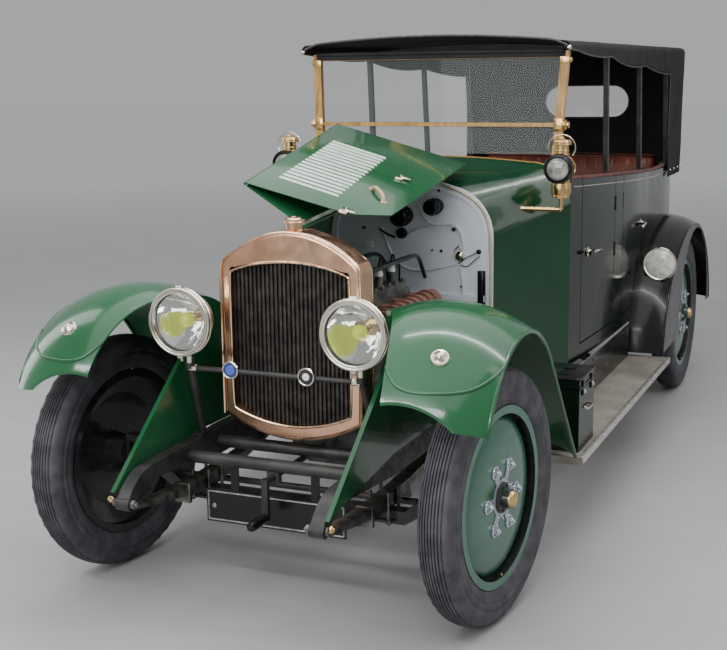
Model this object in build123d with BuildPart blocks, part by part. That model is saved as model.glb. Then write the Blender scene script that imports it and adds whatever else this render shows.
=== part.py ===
from build123d import *
import os
from math import atan2, cos, degrees, radians, sin

os.makedirs("parts", exist_ok=True)

# An open touring car of the 1920s, in millimetres. It stands on the floor at Z 0 and faces -Y.
# X points to the car's left. "Back" distances are measured behind the front axle.

# Driving sizes
wheelbase = 3380
track = 1412
front_overhang = 537
rear_overhang = 792
fit_gap = 0.3
running_gap = 0.05
door_gap = 6

overall_length = front_overhang + wheelbase + rear_overhang
front_axle_y = front_overhang - overall_length / 2
rear_axle_y = front_axle_y + wheelbase
half_track = track / 2


def back(distance):
    """Y of a point this far behind the front axle."""
    return front_axle_y + distance


def side_sketch_plane(x):
    """A plane seen from the car's left: local x is Y and local y is Z."""
    return Plane(origin=(x, 0, 0), x_dir=(0, 1, 0), z_dir=(1, 0, 0))


def cross_plane(distance):
    """A plane across the car: local x is -X, local y is Z, and its normal is +Y."""
    return Plane(origin=(0, back(distance), 0), x_dir=(-1, 0, 0), z_dir=(0, 1, 0))


# Tyres and steel disc wheels
tyre_radius = 420
tyre_width = 120
tyre_bead_radius = 281
rim_flange_radius = 297
rim_barrel_radius = 280
rim_wall = 10
rim_half_width = 46
rim_lip = 6
disc_wall = 8
disc_rim_inset = -4
disc_crown = 34
disc_crown_radius = 60
hub_radius = 50
hub_inner_reach = 45
hub_outer_reach = 46
hub_cap_radius = 30
hub_cap_reach = 90
star_bolt_radius = 110
star_lobe_radius = 23
star_arm_width = 30
star_face = 44
star_back = 24
star_arms = 6
stub_radius = 22
stub_reach = 36
brake_drum_radius = 140
brake_drum_inner = 85
brake_drum_outer = 15

# Front axle, kingpins and steering
kingpin_offset = 95
kingpin_x = half_track - kingpin_offset
kingpin_radius = 12
kingpin_boss_radius = 28
kingpin_boss_half_height = 42
knuckle_ear_height = 24
knuckle_web_gap = 6
knuckle_web = 14
steer_now = -6.8
steering_arm_length = 170
steering_arm_width = 26
track_rod_radius = 12
track_rod_drop = 92
track_pin_radius = 8
axle_drop = 112
axle_height = 46
axle_depth = 50
axle_web_recess = 14
axle_arm_x = 420

# Frame, springs and rear axle
rail_x = 338
rail_width = 44
rail_top = 525
rail_depth = 95
rail_kick = 130
iron_tip_back = -515
iron_tip_height = 424
iron_eye_radius = 22
frame_end = 3940
cross_tube_radius = 22
spring_width = 50
spring_eye_drop = 14
spring_middle = 45
spring_leaf = 10
front_spring_rear_back = 450
spring_sag = 28
rear_spring_x = 402
rear_spring_half = 560
rear_spring_height = 520
rear_spring_sag = 6
rear_axle_radius = 40
diff_radius = 125
backplate_radius = 150
backplate_x = half_track - 106
torque_tube_radius = 34

# Radiator and bonnet
radiator_front = 0
radiator_depth = 100
radiator_half = 260
radiator_shoulder_half = 236
radiator_shoulder_top = 1150
radiator_side_top = 1105
radiator_top = 1242
radiator_side_bottom = 600
radiator_bottom = 523
opening_half = 222
opening_side_top = 1100
opening_top = 1142
opening_side_bottom = 632
opening_bottom = 571
shell_edge_round = 16
filler_radius = 28
filler_cap_radius = 34
filler_neck_height = 20
filler_cap_height = 24
core_setback = 30
core_depth = 50
fin_count = 27
fin_width = 7
fin_proud = 10
bonnet_sheet = 4
bonnet_front = radiator_depth + 2
bonnet_front_shoulder = (140, 1196)
bonnet_front_corner = (222, 1158)
bonnet_front_half = 256
bonnet_front_side_top = 1100
bonnet_rear = 1112
bonnet_bottom_front = 632
bonnet_bottom_rear = 660
hinge_front_height = 1246
hinge_rear_height = 1334
hinge_rod_radius = 6
fold_angle = 148
top_panel_front_width = 245
top_panel_rear_width = 372
side_panel_angle = -17.5
side_panel_front_drop = 470
side_panel_rear_drop = 560
side_panel_corner = 110
louvre_count = 16
louvre_first = 150
louvre_pitch = 40
louvre_length = 225
louvre_start = 62
louvre_width = 24
louvre_height = 12
louvre_middle_height = 930

# Bulkhead, scuttle and body
bulkhead_front = 1114
bulkhead_wall = 10
bulkhead_half = 357
bulkhead_side_top = 1100
bulkhead_shoulder_half = 190
bulkhead_shoulder_top = 1300
bulkhead_top = 1333
bulkhead_corner = (304, 1236)
scuttle_rear = 1400
scuttle_wall = 12
scuttle_half = 600
scuttle_side_top = 1215
scuttle_shoulder_half = 420
scuttle_shoulder_top = 1380
scuttle_top = 1400
scuttle_corner = (555, 1322)
body_bottom = 530
body_wall = 40
body_front_half = 600
body_half = 628
body_widest_start = 1900
body_widest_end = 2700
body_taper_back = 3040
body_taper_half = 605
body_quarter_back = 3600
body_rear_half = 587
body_tail_half = 560
body_rear = 4080
body_corner_radius = 170
front_door_start = 1560
front_door_end = 2090
rear_door_start = 2260
rear_door_end = 2830
rail_front_height = 1312
rail_back_height = 1215
rail_slope_end = 3200
floor_thickness = 20
rear_floor_rise = 150
rear_floor_start = 2860

# Screen, hood and seats
screen_back = 1410
screen_half = 530
post_width = 34
post_depth = 26
post_lean = 40
post_foot_height = 1361
post_top_height = 1832
screen_bar_height = 1533
screen_bar_radius = 8
pane_thickness = 6
hood_front = 1366
hood_rear = 4172
hood_half = 600
hood_wall = 6
hood_front_top = 1868
hood_crown = 1900
hood_tail_height = 1150
hood_tail_rake = 55
hood_corner_radius = 110
hood_quarter_start = 3620
rear_window_half = 262
rear_window_height = 200
rear_window_middle = 1560
stick_width = 22
stick_depth = 26

# Wings, boards and lamps
wing_sheet = 5
wing_inner = 376
wing_outer = 828
wing_arc_radius = 400
wing_arc_back = -30
wing_arc_height = 560
wing_front_angle = 156
wing_tail_back = 652
wing_tail_height = 372
wing_crown = 84
wing_inner_rise = 46
wing_bead_radius = 7
rear_wing_outer = 812
rear_wing_crown = 46
board_outer = 845
board_inner = 640
board_top = 365
board_thickness = 28
board_front = 640
board_rear = 2450
lamp_x = 314
lamp_back = -192
lamp_height = 950
lamp_rim_radius = 113
lamp_bowl_depth = 135
lamp_wall = 5
side_lamp_x = 600
side_lamp_height = 1372

steer_axes = {
    "left": Axis((kingpin_x, front_axle_y, 0), (0, 0, 1)),
    "right": Axis((-kingpin_x, front_axle_y, 0), (0, 0, 1)),
}

# Frame: two channel rails that end in curved dumb irons and rise over the rear axle
kick_start = wheelbase - 480
kick_flat = wheelbase - 230
kick_end = wheelbase + 270
cross_members = [-140, 60, 1900, kick_start - 60]
handle_shaft_height = rail_top - 85
handle_shaft_radius = 11

with BuildPart() as chassis_frame:
    for side in (1, -1):
        with BuildSketch(side_sketch_plane(side * rail_x - rail_width / 2)):
            with BuildLine():
                Polyline(
                    (back(-380), rail_top - 8),
                    (back(0), rail_top),
                    (back(kick_start), rail_top),
                    (back(kick_flat), rail_top + rail_kick),
                    (back(kick_end), rail_top + rail_kick),
                    (back(frame_end), rail_top + 40),
                    (back(frame_end), rail_top - 20),
                    (back(kick_end), rail_top + rail_kick - rail_depth),
                    (back(kick_flat), rail_top + rail_kick - rail_depth),
                    (back(kick_start), rail_top - rail_depth),
                    (back(60), rail_top - rail_depth),
                    (back(-350), rail_top - 58),
                )
                ThreePointArc(
                    (back(-350), rail_top - 58),
                    (back(-440), rail_top - 78),
                    (back(iron_tip_back + 12), iron_tip_height - 14),
                )
                Line(
                    (back(iron_tip_back + 12), iron_tip_height - 14),
                    (back(iron_tip_back - 14), iron_tip_height + 12),
                )
                ThreePointArc(
                    (back(iron_tip_back - 14), iron_tip_height + 12),
                    (back(-470), rail_top - 34),
                    (back(-380), rail_top - 8),
                )
            make_face()
        extrude(amount=rail_width)
        with BuildSketch(side_sketch_plane(side * rail_x - spring_width / 2)):
            with Locations((back(iron_tip_back), iron_tip_height)):
                Circle(iron_eye_radius)
        extrude(amount=spring_width)
    for distance in cross_members:
        with BuildSketch(side_sketch_plane(-rail_x)):
            with Locations((back(distance), rail_top - rail_depth / 2)):
                Circle(cross_tube_radius)
        extrude(amount=2 * rail_x)
    with BuildSketch(side_sketch_plane(-rail_x)):
        with Locations((back(frame_end - 30), rail_top + 12)):
            Circle(cross_tube_radius)
    extrude(amount=2 * rail_x)
    # Brackets that carry the running boards
    for side in (1, -1):
        for distance in (board_front + 260, (board_front + board_rear) / 2, board_rear - 260):
            with BuildSketch(cross_plane(distance)):
                Polygon(
                    (-side * rail_x, rail_top - 30),
                    (-side * (board_inner - 20), board_top - board_thickness),
                    (-side * (board_outer - 60), board_top - board_thickness),
                    (-side * (board_outer - 60), board_top - board_thickness - 12),
                    (-side * (board_inner - 50), board_top - board_thickness - 12),
                    (-side * rail_x, rail_top - rail_depth + 10),
                    align=None,
                )
            extrude(amount=30)
    # Hangers at both ends of the rear springs, outside the rails
    hanger_reach = rear_spring_x + spring_width / 2 - rail_x
    for side in (1, -1):
        with Locations((side * (rail_x + hanger_reach / 2), back(wheelbase - rear_spring_half),
                        rear_spring_height - spring_leaf - 36)):
            Box(hanger_reach, 40, 66)
        with Locations((side * (rail_x + hanger_reach / 2), back(wheelbase + rear_spring_half - 20),
                        rear_spring_height + fit_gap + 18)):
            Box(hanger_reach, 40, 36)
    # Hanger and bearing of the starting handle
    with BuildSketch(cross_plane(-152)):
        with Locations((0, rail_top - 72)):
            Rectangle(44, 66)
        with Locations((0, handle_shaft_height)):
            Circle(handle_shaft_radius + fit_gap, mode=Mode.SUBTRACT)
    extrude(amount=24)
chassis_frame.part.label = "chassis_frame"
export_step(chassis_frame.part, "parts/chassis_frame.step")


# Leaf springs: a pack of leaves under each rail in front, outside each rail behind
spring_base = iron_tip_height - spring_eye_drop
front_spring_front_back = iron_tip_back + iron_eye_radius + fit_gap

# columns: middle of width, first eye, last eye, eye height, sag
spring_table = []
for side in (1, -1):
    spring_table.append(
        (side * rail_x, front_spring_front_back, front_spring_rear_back, spring_base, spring_sag)
    )
    spring_table.append(
        (side * rear_spring_x, wheelbase - rear_spring_half, wheelbase + rear_spring_half,
         rear_spring_height, rear_spring_sag)
    )

with BuildPart() as leaf_springs:
    for middle_x, first_back, last_back, eye_height, sag in spring_table:
        centre_back = (first_back + last_back) / 2
        half_length = (last_back - first_back) / 2
        with BuildSketch(side_sketch_plane(middle_x - spring_width / 2)):
            with BuildLine():
                ThreePointArc(
                    (back(first_back), eye_height),
                    (back(centre_back), eye_height - sag),
                    (back(last_back), eye_height),
                )
                Polyline(
                    (back(last_back), eye_height),
                    (back(last_back), eye_height - spring_leaf),
                    (back(centre_back + half_length * 0.62), eye_height - sag * 0.6 - spring_middle * 0.55),
                    (back(centre_back + half_length * 0.2), eye_height - sag - spring_middle),
                    (back(centre_back - half_length * 0.2), eye_height - sag - spring_middle),
                    (back(centre_back - half_length * 0.62), eye_height - sag * 0.6 - spring_middle * 0.55),
                    (back(first_back), eye_height - spring_leaf),
                    (back(first_back), eye_height),
                )
            make_face()
        extrude(amount=spring_width)
    # Rear shackles of the front springs, hanging from the rails
    for side in (1, -1):
        with BuildSketch(side_sketch_plane(side * rail_x - spring_width / 2)):
            with Locations((back(front_spring_rear_back), (rail_top - rail_depth + spring_base) / 2 - 6)):
                Rectangle(22, rail_top - rail_depth - spring_base + 12 - 2 * fit_gap)
        extrude(amount=spring_width)
leaf_springs.part.label = "leaf_springs"
export_step(leaf_springs.part, "parts/leaf_springs.step")


# Front axle: a dropped forged beam of I section with a boss for each kingpin
beam_bottom = tyre_radius - axle_drop - axle_height / 2
beam_top = beam_bottom + axle_height
boss_low = tyre_radius - kingpin_boss_half_height
boss_high = tyre_radius + kingpin_boss_half_height
spring_seat = spring_base - spring_sag - spring_middle - fit_gap

with BuildPart() as front_axle:
    with BuildSketch(Plane(origin=(0, front_axle_y - axle_depth / 2, 0), x_dir=(1, 0, 0), z_dir=(0, -1, 0))):
        Polygon(
            (-kingpin_x, boss_low + 12),
            (34 - kingpin_x, boss_low + 12),
            (-axle_arm_x, beam_bottom),
            (axle_arm_x, beam_bottom),
            (kingpin_x - 34, boss_low + 12),
            (kingpin_x, boss_low + 12),
            (kingpin_x, boss_high - 12),
            (kingpin_x - 40, boss_high - 12),
            (axle_arm_x, beam_top),
            (-axle_arm_x, beam_top),
            (40 - kingpin_x, boss_high - 12),
            (-kingpin_x, boss_high - 12),
            align=None,
        )
    extrude(amount=-axle_depth)
    with Locations((0, front_axle_y - axle_depth / 2, (beam_bottom + beam_top) / 2),
                   (0, front_axle_y + axle_depth / 2, (beam_bottom + beam_top) / 2)):
        Box(2 * axle_arm_x - 60, 2 * axle_web_recess, axle_height - 18, mode=Mode.SUBTRACT)
    for side in (1, -1):
        with Locations((side * kingpin_x, front_axle_y, tyre_radius)):
            Cylinder(kingpin_boss_radius, 2 * kingpin_boss_half_height)
            Cylinder(kingpin_radius + running_gap, 200, mode=Mode.SUBTRACT)
        with Locations((side * rail_x, front_axle_y, (beam_top + spring_seat) / 2)):
            Box(spring_width, 110, spring_seat - beam_top)
front_axle.part.label = "front_axle"
export_step(front_axle.part, "parts/front_axle.step")


# Knuckles: two ears and a pin through the axle's boss, the wheel's stub and a steering arm
ear_gap = fit_gap
web_inner = kingpin_boss_radius + knuckle_web_gap
arm_height = tyre_radius - track_rod_drop

for name, side in (("left", 1), ("right", -1)):
    with BuildPart() as straight_knuckle:
        with Locations((side * kingpin_x, front_axle_y, tyre_radius)):
            Cylinder(kingpin_radius, 2 * (kingpin_boss_half_height + ear_gap + knuckle_ear_height))
        for end in (1, -1):
            ear_middle = tyre_radius + end * (kingpin_boss_half_height + ear_gap + knuckle_ear_height / 2)
            with BuildSketch(Plane.XY.offset(ear_middle - knuckle_ear_height / 2)):
                with Locations((side * kingpin_x, front_axle_y)):
                    Circle(kingpin_boss_radius)
                with Locations((side * (kingpin_x + (web_inner + knuckle_web) / 2), front_axle_y)):
                    Rectangle(web_inner + knuckle_web, 44)
            extrude(amount=knuckle_ear_height)
        with Locations((side * (kingpin_x + web_inner + knuckle_web / 2), front_axle_y, tyre_radius)):
            Box(knuckle_web, 44, 2 * (kingpin_boss_half_height + ear_gap + knuckle_ear_height))
        stub_start = kingpin_x + web_inner
        stub_end = half_track + stub_reach
        with BuildSketch(side_sketch_plane(side * stub_start)):
            with Locations((front_axle_y, tyre_radius)):
                Circle(stub_radius)
        extrude(amount=side * (stub_end - stub_start))
        # The arm runs straight back from the lower ear to the track rod's pin
        with BuildSketch(Plane.XY.offset(arm_height - 9)):
            with Locations((side * kingpin_x, front_axle_y + steering_arm_length / 2)):
                SlotCenterToCenter(steering_arm_length, steering_arm_width, rotation=90)
        extrude(amount=18)
        with Locations((side * kingpin_x, front_axle_y, arm_height + 18)):
            Cylinder(steering_arm_width / 2, 40)
        with Locations((side * kingpin_x, front_axle_y + steering_arm_length, arm_height - 21)):
            Cylinder(track_pin_radius, 42)
    with BuildPart() as knuckle:
        add(straight_knuckle.part.rotate(steer_axes[name], steer_now))
    knuckle.part.label = f"knuckle_{name}"
    export_step(knuckle.part, f"parts/knuckle_{name}.step")


# Track rod: a tube with an eye under each steering arm's pin
turn = radians(steer_now)
pin_shift_x = -steering_arm_length * sin(turn)
pin_back = steering_arm_length * cos(turn)
rod_height = arm_height - 28

with BuildPart() as track_rod:
    with BuildSketch(side_sketch_plane(-kingpin_x + pin_shift_x)):
        with Locations((back(pin_back), rod_height)):
            Circle(track_rod_radius)
    extrude(amount=2 * kingpin_x)
    for side in (1, -1):
        with Locations((side * kingpin_x + pin_shift_x, back(pin_back), rod_height)):
            Cylinder(track_rod_radius + 8, 2 * track_rod_radius)
            Cylinder(track_pin_radius + running_gap, 60, mode=Mode.SUBTRACT)
track_rod.part.label = "track_rod"
export_step(track_rod.part, "parts/track_rod.step")


# Rear axle: tubes, differential, backplates and the torque tube to the gearbox
torque_tube_start = 1330

with BuildPart() as rear_axle:
    with BuildSketch(side_sketch_plane(-backplate_x)):
        with Locations((rear_axle_y, tyre_radius)):
            Circle(rear_axle_radius)
    extrude(amount=2 * backplate_x)
    with Locations((0, rear_axle_y, tyre_radius)):
        Sphere(diff_radius)
    with BuildSketch(Plane(origin=(0, rear_axle_y, tyre_radius), x_dir=(1, 0, 0), z_dir=(0, -1, 0))):
        Circle(torque_tube_radius)
    extrude(amount=wheelbase - torque_tube_start)
    for side in (1, -1):
        with BuildSketch(side_sketch_plane(side * backplate_x)):
            with Locations((rear_axle_y, tyre_radius)):
                Circle(backplate_radius)
        extrude(amount=side * 10)
        with BuildSketch(side_sketch_plane(side * backplate_x)):
            with Locations((rear_axle_y, tyre_radius)):
                Circle(stub_radius)
        extrude(amount=side * (half_track + stub_reach - backplate_x))
        # Pad under each rear spring
        pad_top = rear_spring_height - rear_spring_sag - spring_middle - fit_gap
        pad_bottom = tyre_radius
        with Locations((side * rear_spring_x, rear_axle_y, (pad_top + pad_bottom) / 2)):
            Box(spring_width, 120, pad_top - pad_bottom)
rear_axle.part.label = "rear_axle"
export_step(rear_axle.part, "parts/rear_axle.step")


# Wheels and tyres. A profile's columns are the reach outwards from the wheel's middle and the radius.
wheel_profile = [
    (-hub_inner_reach, stub_radius + running_gap),
    (-hub_inner_reach, hub_radius),
    (disc_crown - disc_wall, disc_crown_radius),
    (disc_rim_inset - disc_wall + 22, 205),
    (disc_rim_inset - disc_wall, rim_barrel_radius - rim_wall),
    (-rim_half_width, rim_barrel_radius - rim_wall),
    (-rim_half_width, rim_flange_radius),
    (rim_lip - rim_half_width, rim_flange_radius),
    (rim_lip - rim_half_width, rim_barrel_radius),
    (rim_half_width - rim_lip, rim_barrel_radius),
    (rim_half_width - rim_lip, rim_flange_radius),
    (rim_half_width, rim_flange_radius),
    (rim_half_width, rim_barrel_radius - rim_wall),
    (disc_rim_inset, rim_barrel_radius - rim_wall),
    (disc_rim_inset + 22, 205),
    (disc_crown, disc_crown_radius),
    (hub_outer_reach, hub_radius),
    (hub_outer_reach, hub_cap_radius + 6),
    (hub_cap_reach - 14, hub_cap_radius),
    (hub_cap_reach, hub_cap_radius - 8),
    (hub_cap_reach, 0),
    (stub_reach + 8, 0),
    (stub_reach + 8, stub_radius + running_gap),
]
bead_reach = rim_half_width - rim_lip - fit_gap
tyre_profile = [
    (-bead_reach, tyre_bead_radius),
    (-bead_reach, rim_flange_radius + 2),
    (-tyre_width / 2 + 6, rim_flange_radius + 20),
    (-tyre_width / 2, 350),
    (-tyre_width / 2 + 3, 378),
    (-tyre_width / 2 + 14, 402),
    (-tyre_width / 2 + 34, tyre_radius - 3),
    (0, tyre_radius),
    (tyre_width / 2 - 34, tyre_radius - 3),
    (tyre_width / 2 - 14, 402),
    (tyre_width / 2 - 3, 378),
    (tyre_width / 2, 350),
    (tyre_width / 2 - 6, rim_flange_radius + 20),
    (bead_reach, rim_flange_radius + 2),
    (bead_reach, tyre_bead_radius),
]

# columns: name, side of the car, Y of the axle, steered or not
corner_table = [
    ("front_left", 1, front_axle_y, "left"),
    ("front_right", -1, front_axle_y, "right"),
    ("rear_left", 1, rear_axle_y, None),
    ("rear_right", -1, rear_axle_y, None),
]

for corner, side, axle_y, steered in corner_table:
    hub_centre = (side * half_track, axle_y, tyre_radius)
    wheel_plane = Plane(origin=hub_centre, x_dir=(side, 0, 0), z_dir=(0, -side, 0))
    wheel_axis = Axis(hub_centre, (1, 0, 0))
    face_plane = Plane(
        origin=(side * (half_track + star_back), axle_y, tyre_radius), x_dir=(0, side, 0), z_dir=(side, 0, 0)
    )
    with BuildPart() as straight_wheel:
        with BuildSketch(wheel_plane):
            Polygon(*wheel_profile, align=None)
        revolve(axis=wheel_axis)
        with BuildSketch(face_plane):
            with PolarLocations(0, star_arms):
                with Locations((star_bolt_radius / 2, 0)):
                    Rectangle(star_bolt_radius, star_arm_width)
                with Locations((star_bolt_radius, 0)):
                    Circle(star_lobe_radius)
            Circle(hub_radius - 2, mode=Mode.SUBTRACT)
        extrude(amount=star_face - star_back)
        if steered is None:
            with BuildSketch(wheel_plane):
                Polygon(
                    (-brake_drum_inner, brake_drum_radius - 8),
                    (-brake_drum_inner, brake_drum_radius),
                    (-brake_drum_outer, brake_drum_radius),
                    (-brake_drum_outer, hub_radius - 2),
                    (-brake_drum_outer - 10, hub_radius - 2),
                    (-brake_drum_outer - 10, brake_drum_radius - 8),
                    align=None,
                )
            revolve(axis=wheel_axis)
    with BuildPart() as straight_tyre:
        with BuildSketch(wheel_plane):
            Polygon(*tyre_profile, align=None)
        revolve(axis=wheel_axis)
    with BuildPart() as wheel:
        if steered is None:
            add(straight_wheel.part)
        else:
            add(straight_wheel.part.rotate(steer_axes[steered], steer_now))
    with BuildPart() as tyre:
        if steered is None:
            add(straight_tyre.part)
        else:
            add(straight_tyre.part.rotate(steer_axes[steered], steer_now))
    wheel.part.label = f"wheel_{corner}"
    export_step(wheel.part, f"parts/wheel_{corner}.step")
    tyre.part.label = f"tyre_{corner}"
    export_step(tyre.part, f"parts/tyre_{corner}.step")


# Steering column and wheel, on the car's right
column_x = -285
worm_back = 720
column_low = Vector(column_x, back(worm_back), 585)
column_high = Vector(column_x, back(1700), 1238)
column_axis = (column_high - column_low).normalized()
column_length = (column_high - column_low).length
column_radius = 19
steering_rim_radius = 212
steering_rim_tube = 12
steering_spokes = 4
column_plane = Plane(origin=column_low, x_dir=(1, 0, 0), z_dir=column_axis)
wheel_gap = 6
lever_x = column_x - 175
lever_foot = body_bottom + floor_thickness + fit_gap
# columns: distance behind the front axle and height of the knob
lever_table = [(1560, 1010), (1640, 960)]

with BuildPart() as steering_column:
    with BuildSketch(column_plane):
        Circle(column_radius)
    extrude(amount=column_length)
    # Worm box bolted to the rail
    with Locations((column_x, back(worm_back), 560)):
        Box(2 * (column_x + rail_x - rail_width / 2 - fit_gap), 130, 120)
    # Gear and brake levers on the floor beside the driver
    for lever_back, lever_top in lever_table:
        with Locations((lever_x, back(lever_back), (lever_foot + lever_top) / 2)):
            Box(12, 22, lever_top - lever_foot)
        with Locations((lever_x, back(lever_back), lever_foot + 8)):
            Box(44, 64, 16)
        with Locations((lever_x, back(lever_back), lever_top)):
            Sphere(19)
steering_column.part.label = "steering_column"
export_step(steering_column.part, "parts/steering_column.step")

with BuildPart() as steering_wheel:
    steer_plane = Plane(
        origin=column_high + column_axis * (wheel_gap + 14), x_dir=(1, 0, 0), z_dir=column_axis
    )
    with BuildSketch(steer_plane.offset(-14)):
        Circle(34)
    extrude(amount=34)
    with BuildSketch(steer_plane.offset(-5)):
        with PolarLocations(0, steering_spokes, start_angle=45):
            with Locations((steering_rim_radius / 2, 0)):
                Rectangle(steering_rim_radius, 20)
    extrude(amount=9)
    rim_section_plane = Plane(
        origin=steer_plane.origin, x_dir=(1, 0, 0), z_dir=column_axis.cross(Vector(1, 0, 0))
    )
    with BuildSketch(rim_section_plane):
        with Locations((steering_rim_radius, 0)):
            RegularPolygon(steering_rim_tube, 10)
    revolve(axis=Axis(steer_plane.origin, column_axis))
steering_wheel.part.label = "steering_wheel"
export_step(steering_wheel.part, "parts/steering_wheel.step")


# Radiator: a polished shell with a domed header tank round a core of upright strips
def radiator_outline(half, side_top, shoulder_half, shoulder_top, top, side_bottom, bottom):
    """Outline of the radiator in the cross plane, drawn as one closed line."""
    Line((half, side_bottom), (half, side_top))
    ThreePointArc(
        (half, side_top),
        (half - 0.32 * (half - shoulder_half), (side_top + shoulder_top) / 2 + 6),
        (shoulder_half, shoulder_top),
    )
    ThreePointArc((shoulder_half, shoulder_top), (0, top), (-shoulder_half, shoulder_top))
    ThreePointArc(
        (-shoulder_half, shoulder_top),
        (0.32 * (half - shoulder_half) - half, (side_top + shoulder_top) / 2 + 6),
        (-half, side_top),
    )
    Line((-half, side_top), (-half, side_bottom))
    ThreePointArc((-half, side_bottom), (0, bottom), (half, side_bottom))


opening_shoulder_half = opening_half - 18
opening_shoulder_top = opening_side_top + 14

with BuildPart() as radiator_shell:
    with BuildSketch(cross_plane(radiator_front)):
        with BuildLine():
            radiator_outline(radiator_half, radiator_side_top, radiator_shoulder_half, radiator_shoulder_top,
                             radiator_top, radiator_side_bottom, radiator_bottom)
        make_face()
    extrude(amount=radiator_depth)
    fillet(radiator_shell.faces().sort_by(Axis.Y)[0].outer_wire().edges(), shell_edge_round)
    with BuildSketch(cross_plane(radiator_front)):
        with BuildLine():
            radiator_outline(opening_half, opening_side_top, opening_shoulder_half, opening_shoulder_top,
                             opening_top, opening_side_bottom, opening_bottom)
        make_face()
    extrude(amount=radiator_depth, mode=Mode.SUBTRACT)
    filler_y = back(radiator_front + radiator_depth / 2)
    with BuildSketch(Plane.XY.offset(radiator_top - 8)):
        with Locations((0, filler_y)):
            Circle(filler_radius)
    extrude(amount=8 + filler_neck_height)
    with BuildSketch(Plane.XY.offset(radiator_top + filler_neck_height)):
        with Locations((0, filler_y)):
            RegularPolygon(filler_cap_radius, 12)
    extrude(amount=filler_cap_height - 8)
    with BuildSketch(Plane.XY.offset(radiator_top + filler_neck_height + filler_cap_height - 8)):
        with Locations((0, filler_y)):
            Circle(filler_cap_radius - 12)
    extrude(amount=8)
radiator_shell.part.label = "radiator_shell"
export_step(radiator_shell.part, "parts/radiator_shell.step")

core_gap = fit_gap
fin_pitch = 2 * (opening_half - 8) / fin_count

core_sizes = (
    opening_half - core_gap, opening_side_top - core_gap, opening_shoulder_half - core_gap,
    opening_shoulder_top - core_gap, opening_top - core_gap, opening_side_bottom + core_gap,
    opening_bottom + core_gap,
)

with BuildPart() as radiator_core:
    with BuildSketch(cross_plane(core_setback + fin_proud)):
        with BuildLine():
            radiator_outline(*core_sizes)
        make_face()
    extrude(amount=core_depth - fin_proud)
    with BuildSketch(cross_plane(core_setback)):
        with BuildLine():
            radiator_outline(*core_sizes)
        make_face()
        # The gaps between the upright strips
        with Locations((0, (opening_bottom + opening_top) / 2)):
            with GridLocations(fin_pitch, 1, fin_count + 1, 1):
                Rectangle(fin_pitch - fin_width, opening_top - opening_bottom + 20, mode=Mode.SUBTRACT)
    extrude(amount=fin_proud)
radiator_core.part.label = "radiator_core"
export_step(radiator_core.part, "parts/radiator_core.step")


# Bonnet, right half: closed from the centre hinge to the shoulder and down the side, with louvres
# columns: back, centre height, shoulder x and height, corner x and height, side x, side top, side bottom
bonnet_sections = [
    (bonnet_front, hinge_front_height - 6, *bonnet_front_shoulder, *bonnet_front_corner, bonnet_front_half,
     bonnet_front_side_top, bonnet_bottom_front),
    (bonnet_rear, hinge_rear_height - 6, bulkhead_shoulder_half, bulkhead_shoulder_top - 2, *bulkhead_corner,
     bulkhead_half - 2, bulkhead_side_top, bonnet_bottom_rear),
]


def bonnet_band(section):
    """Closed band of one bonnet sheet on the car's right, at one place along the car."""
    distance, centre, shoulder_x, shoulder_z, corner_x, corner_z, side_x, side_top, side_bottom = section
    with BuildSketch(cross_plane(distance)) as band:
        with BuildLine():
            Line((hinge_rod_radius, centre), (shoulder_x, shoulder_z))
            ThreePointArc((shoulder_x, shoulder_z), (corner_x, corner_z), (side_x, side_top))
            Line((side_x, side_top), (side_x, side_bottom))
            Line((side_x, side_bottom), (side_x - bonnet_sheet, side_bottom))
            Line((side_x - bonnet_sheet, side_bottom), (side_x - bonnet_sheet, side_top))
            ThreePointArc(
                (side_x - bonnet_sheet, side_top),
                (corner_x - 0.7 * bonnet_sheet, corner_z - 0.7 * bonnet_sheet),
                (shoulder_x, shoulder_z - bonnet_sheet),
            )
            Line((shoulder_x, shoulder_z - bonnet_sheet), (hinge_rod_radius, centre - bonnet_sheet))
            Line((hinge_rod_radius, centre - bonnet_sheet), (hinge_rod_radius, centre))
        make_face()
    return band.sketch


bonnet_spread = bulkhead_half - 2 - bonnet_front_half
bonnet_length = bonnet_rear - bonnet_front
side_slope = degrees(atan2(bonnet_spread, bonnet_length))
louvre_field_middle = bonnet_front + louvre_first + louvre_pitch * (louvre_count - 1) / 2
louvre_field_x = bonnet_front_half + (louvre_field_middle - bonnet_front) * bonnet_spread / bonnet_length
closed_louvre_plane = Plane(
    origin=(-louvre_field_x, back(louvre_field_middle), louvre_middle_height),
    x_dir=(sin(radians(-side_slope)), cos(radians(side_slope)), 0),
    z_dir=(-cos(radians(side_slope)), -sin(radians(side_slope)), 0),
)

bonnet_skin = loft([bonnet_band(bonnet_sections[0]), bonnet_band(bonnet_sections[1])], ruled=True)

with BuildPart() as bonnet_right:
    add(bonnet_skin)
    # Louvres: pressed hoods, each open to the rear
    with BuildSketch(closed_louvre_plane.offset(-1)):
        with GridLocations(louvre_pitch, 1, louvre_count, 1):
            Rectangle(louvre_width, louvre_length)
    extrude(amount=louvre_height, taper=30)
    # Centre hinge rod
    hinge_start = Vector(0, back(bonnet_front), hinge_front_height - hinge_rod_radius)
    hinge_end = Vector(0, back(bonnet_rear), hinge_rear_height - hinge_rod_radius)
    with BuildSketch(Plane(origin=hinge_start, x_dir=(1, 0, 0), z_dir=hinge_end - hinge_start)):
        Circle(hinge_rod_radius + 1)
    extrude(amount=(hinge_end - hinge_start).length)
bonnet_right.part.label = "bonnet_right"
export_step(bonnet_right.part, "parts/bonnet_right.step")


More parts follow.
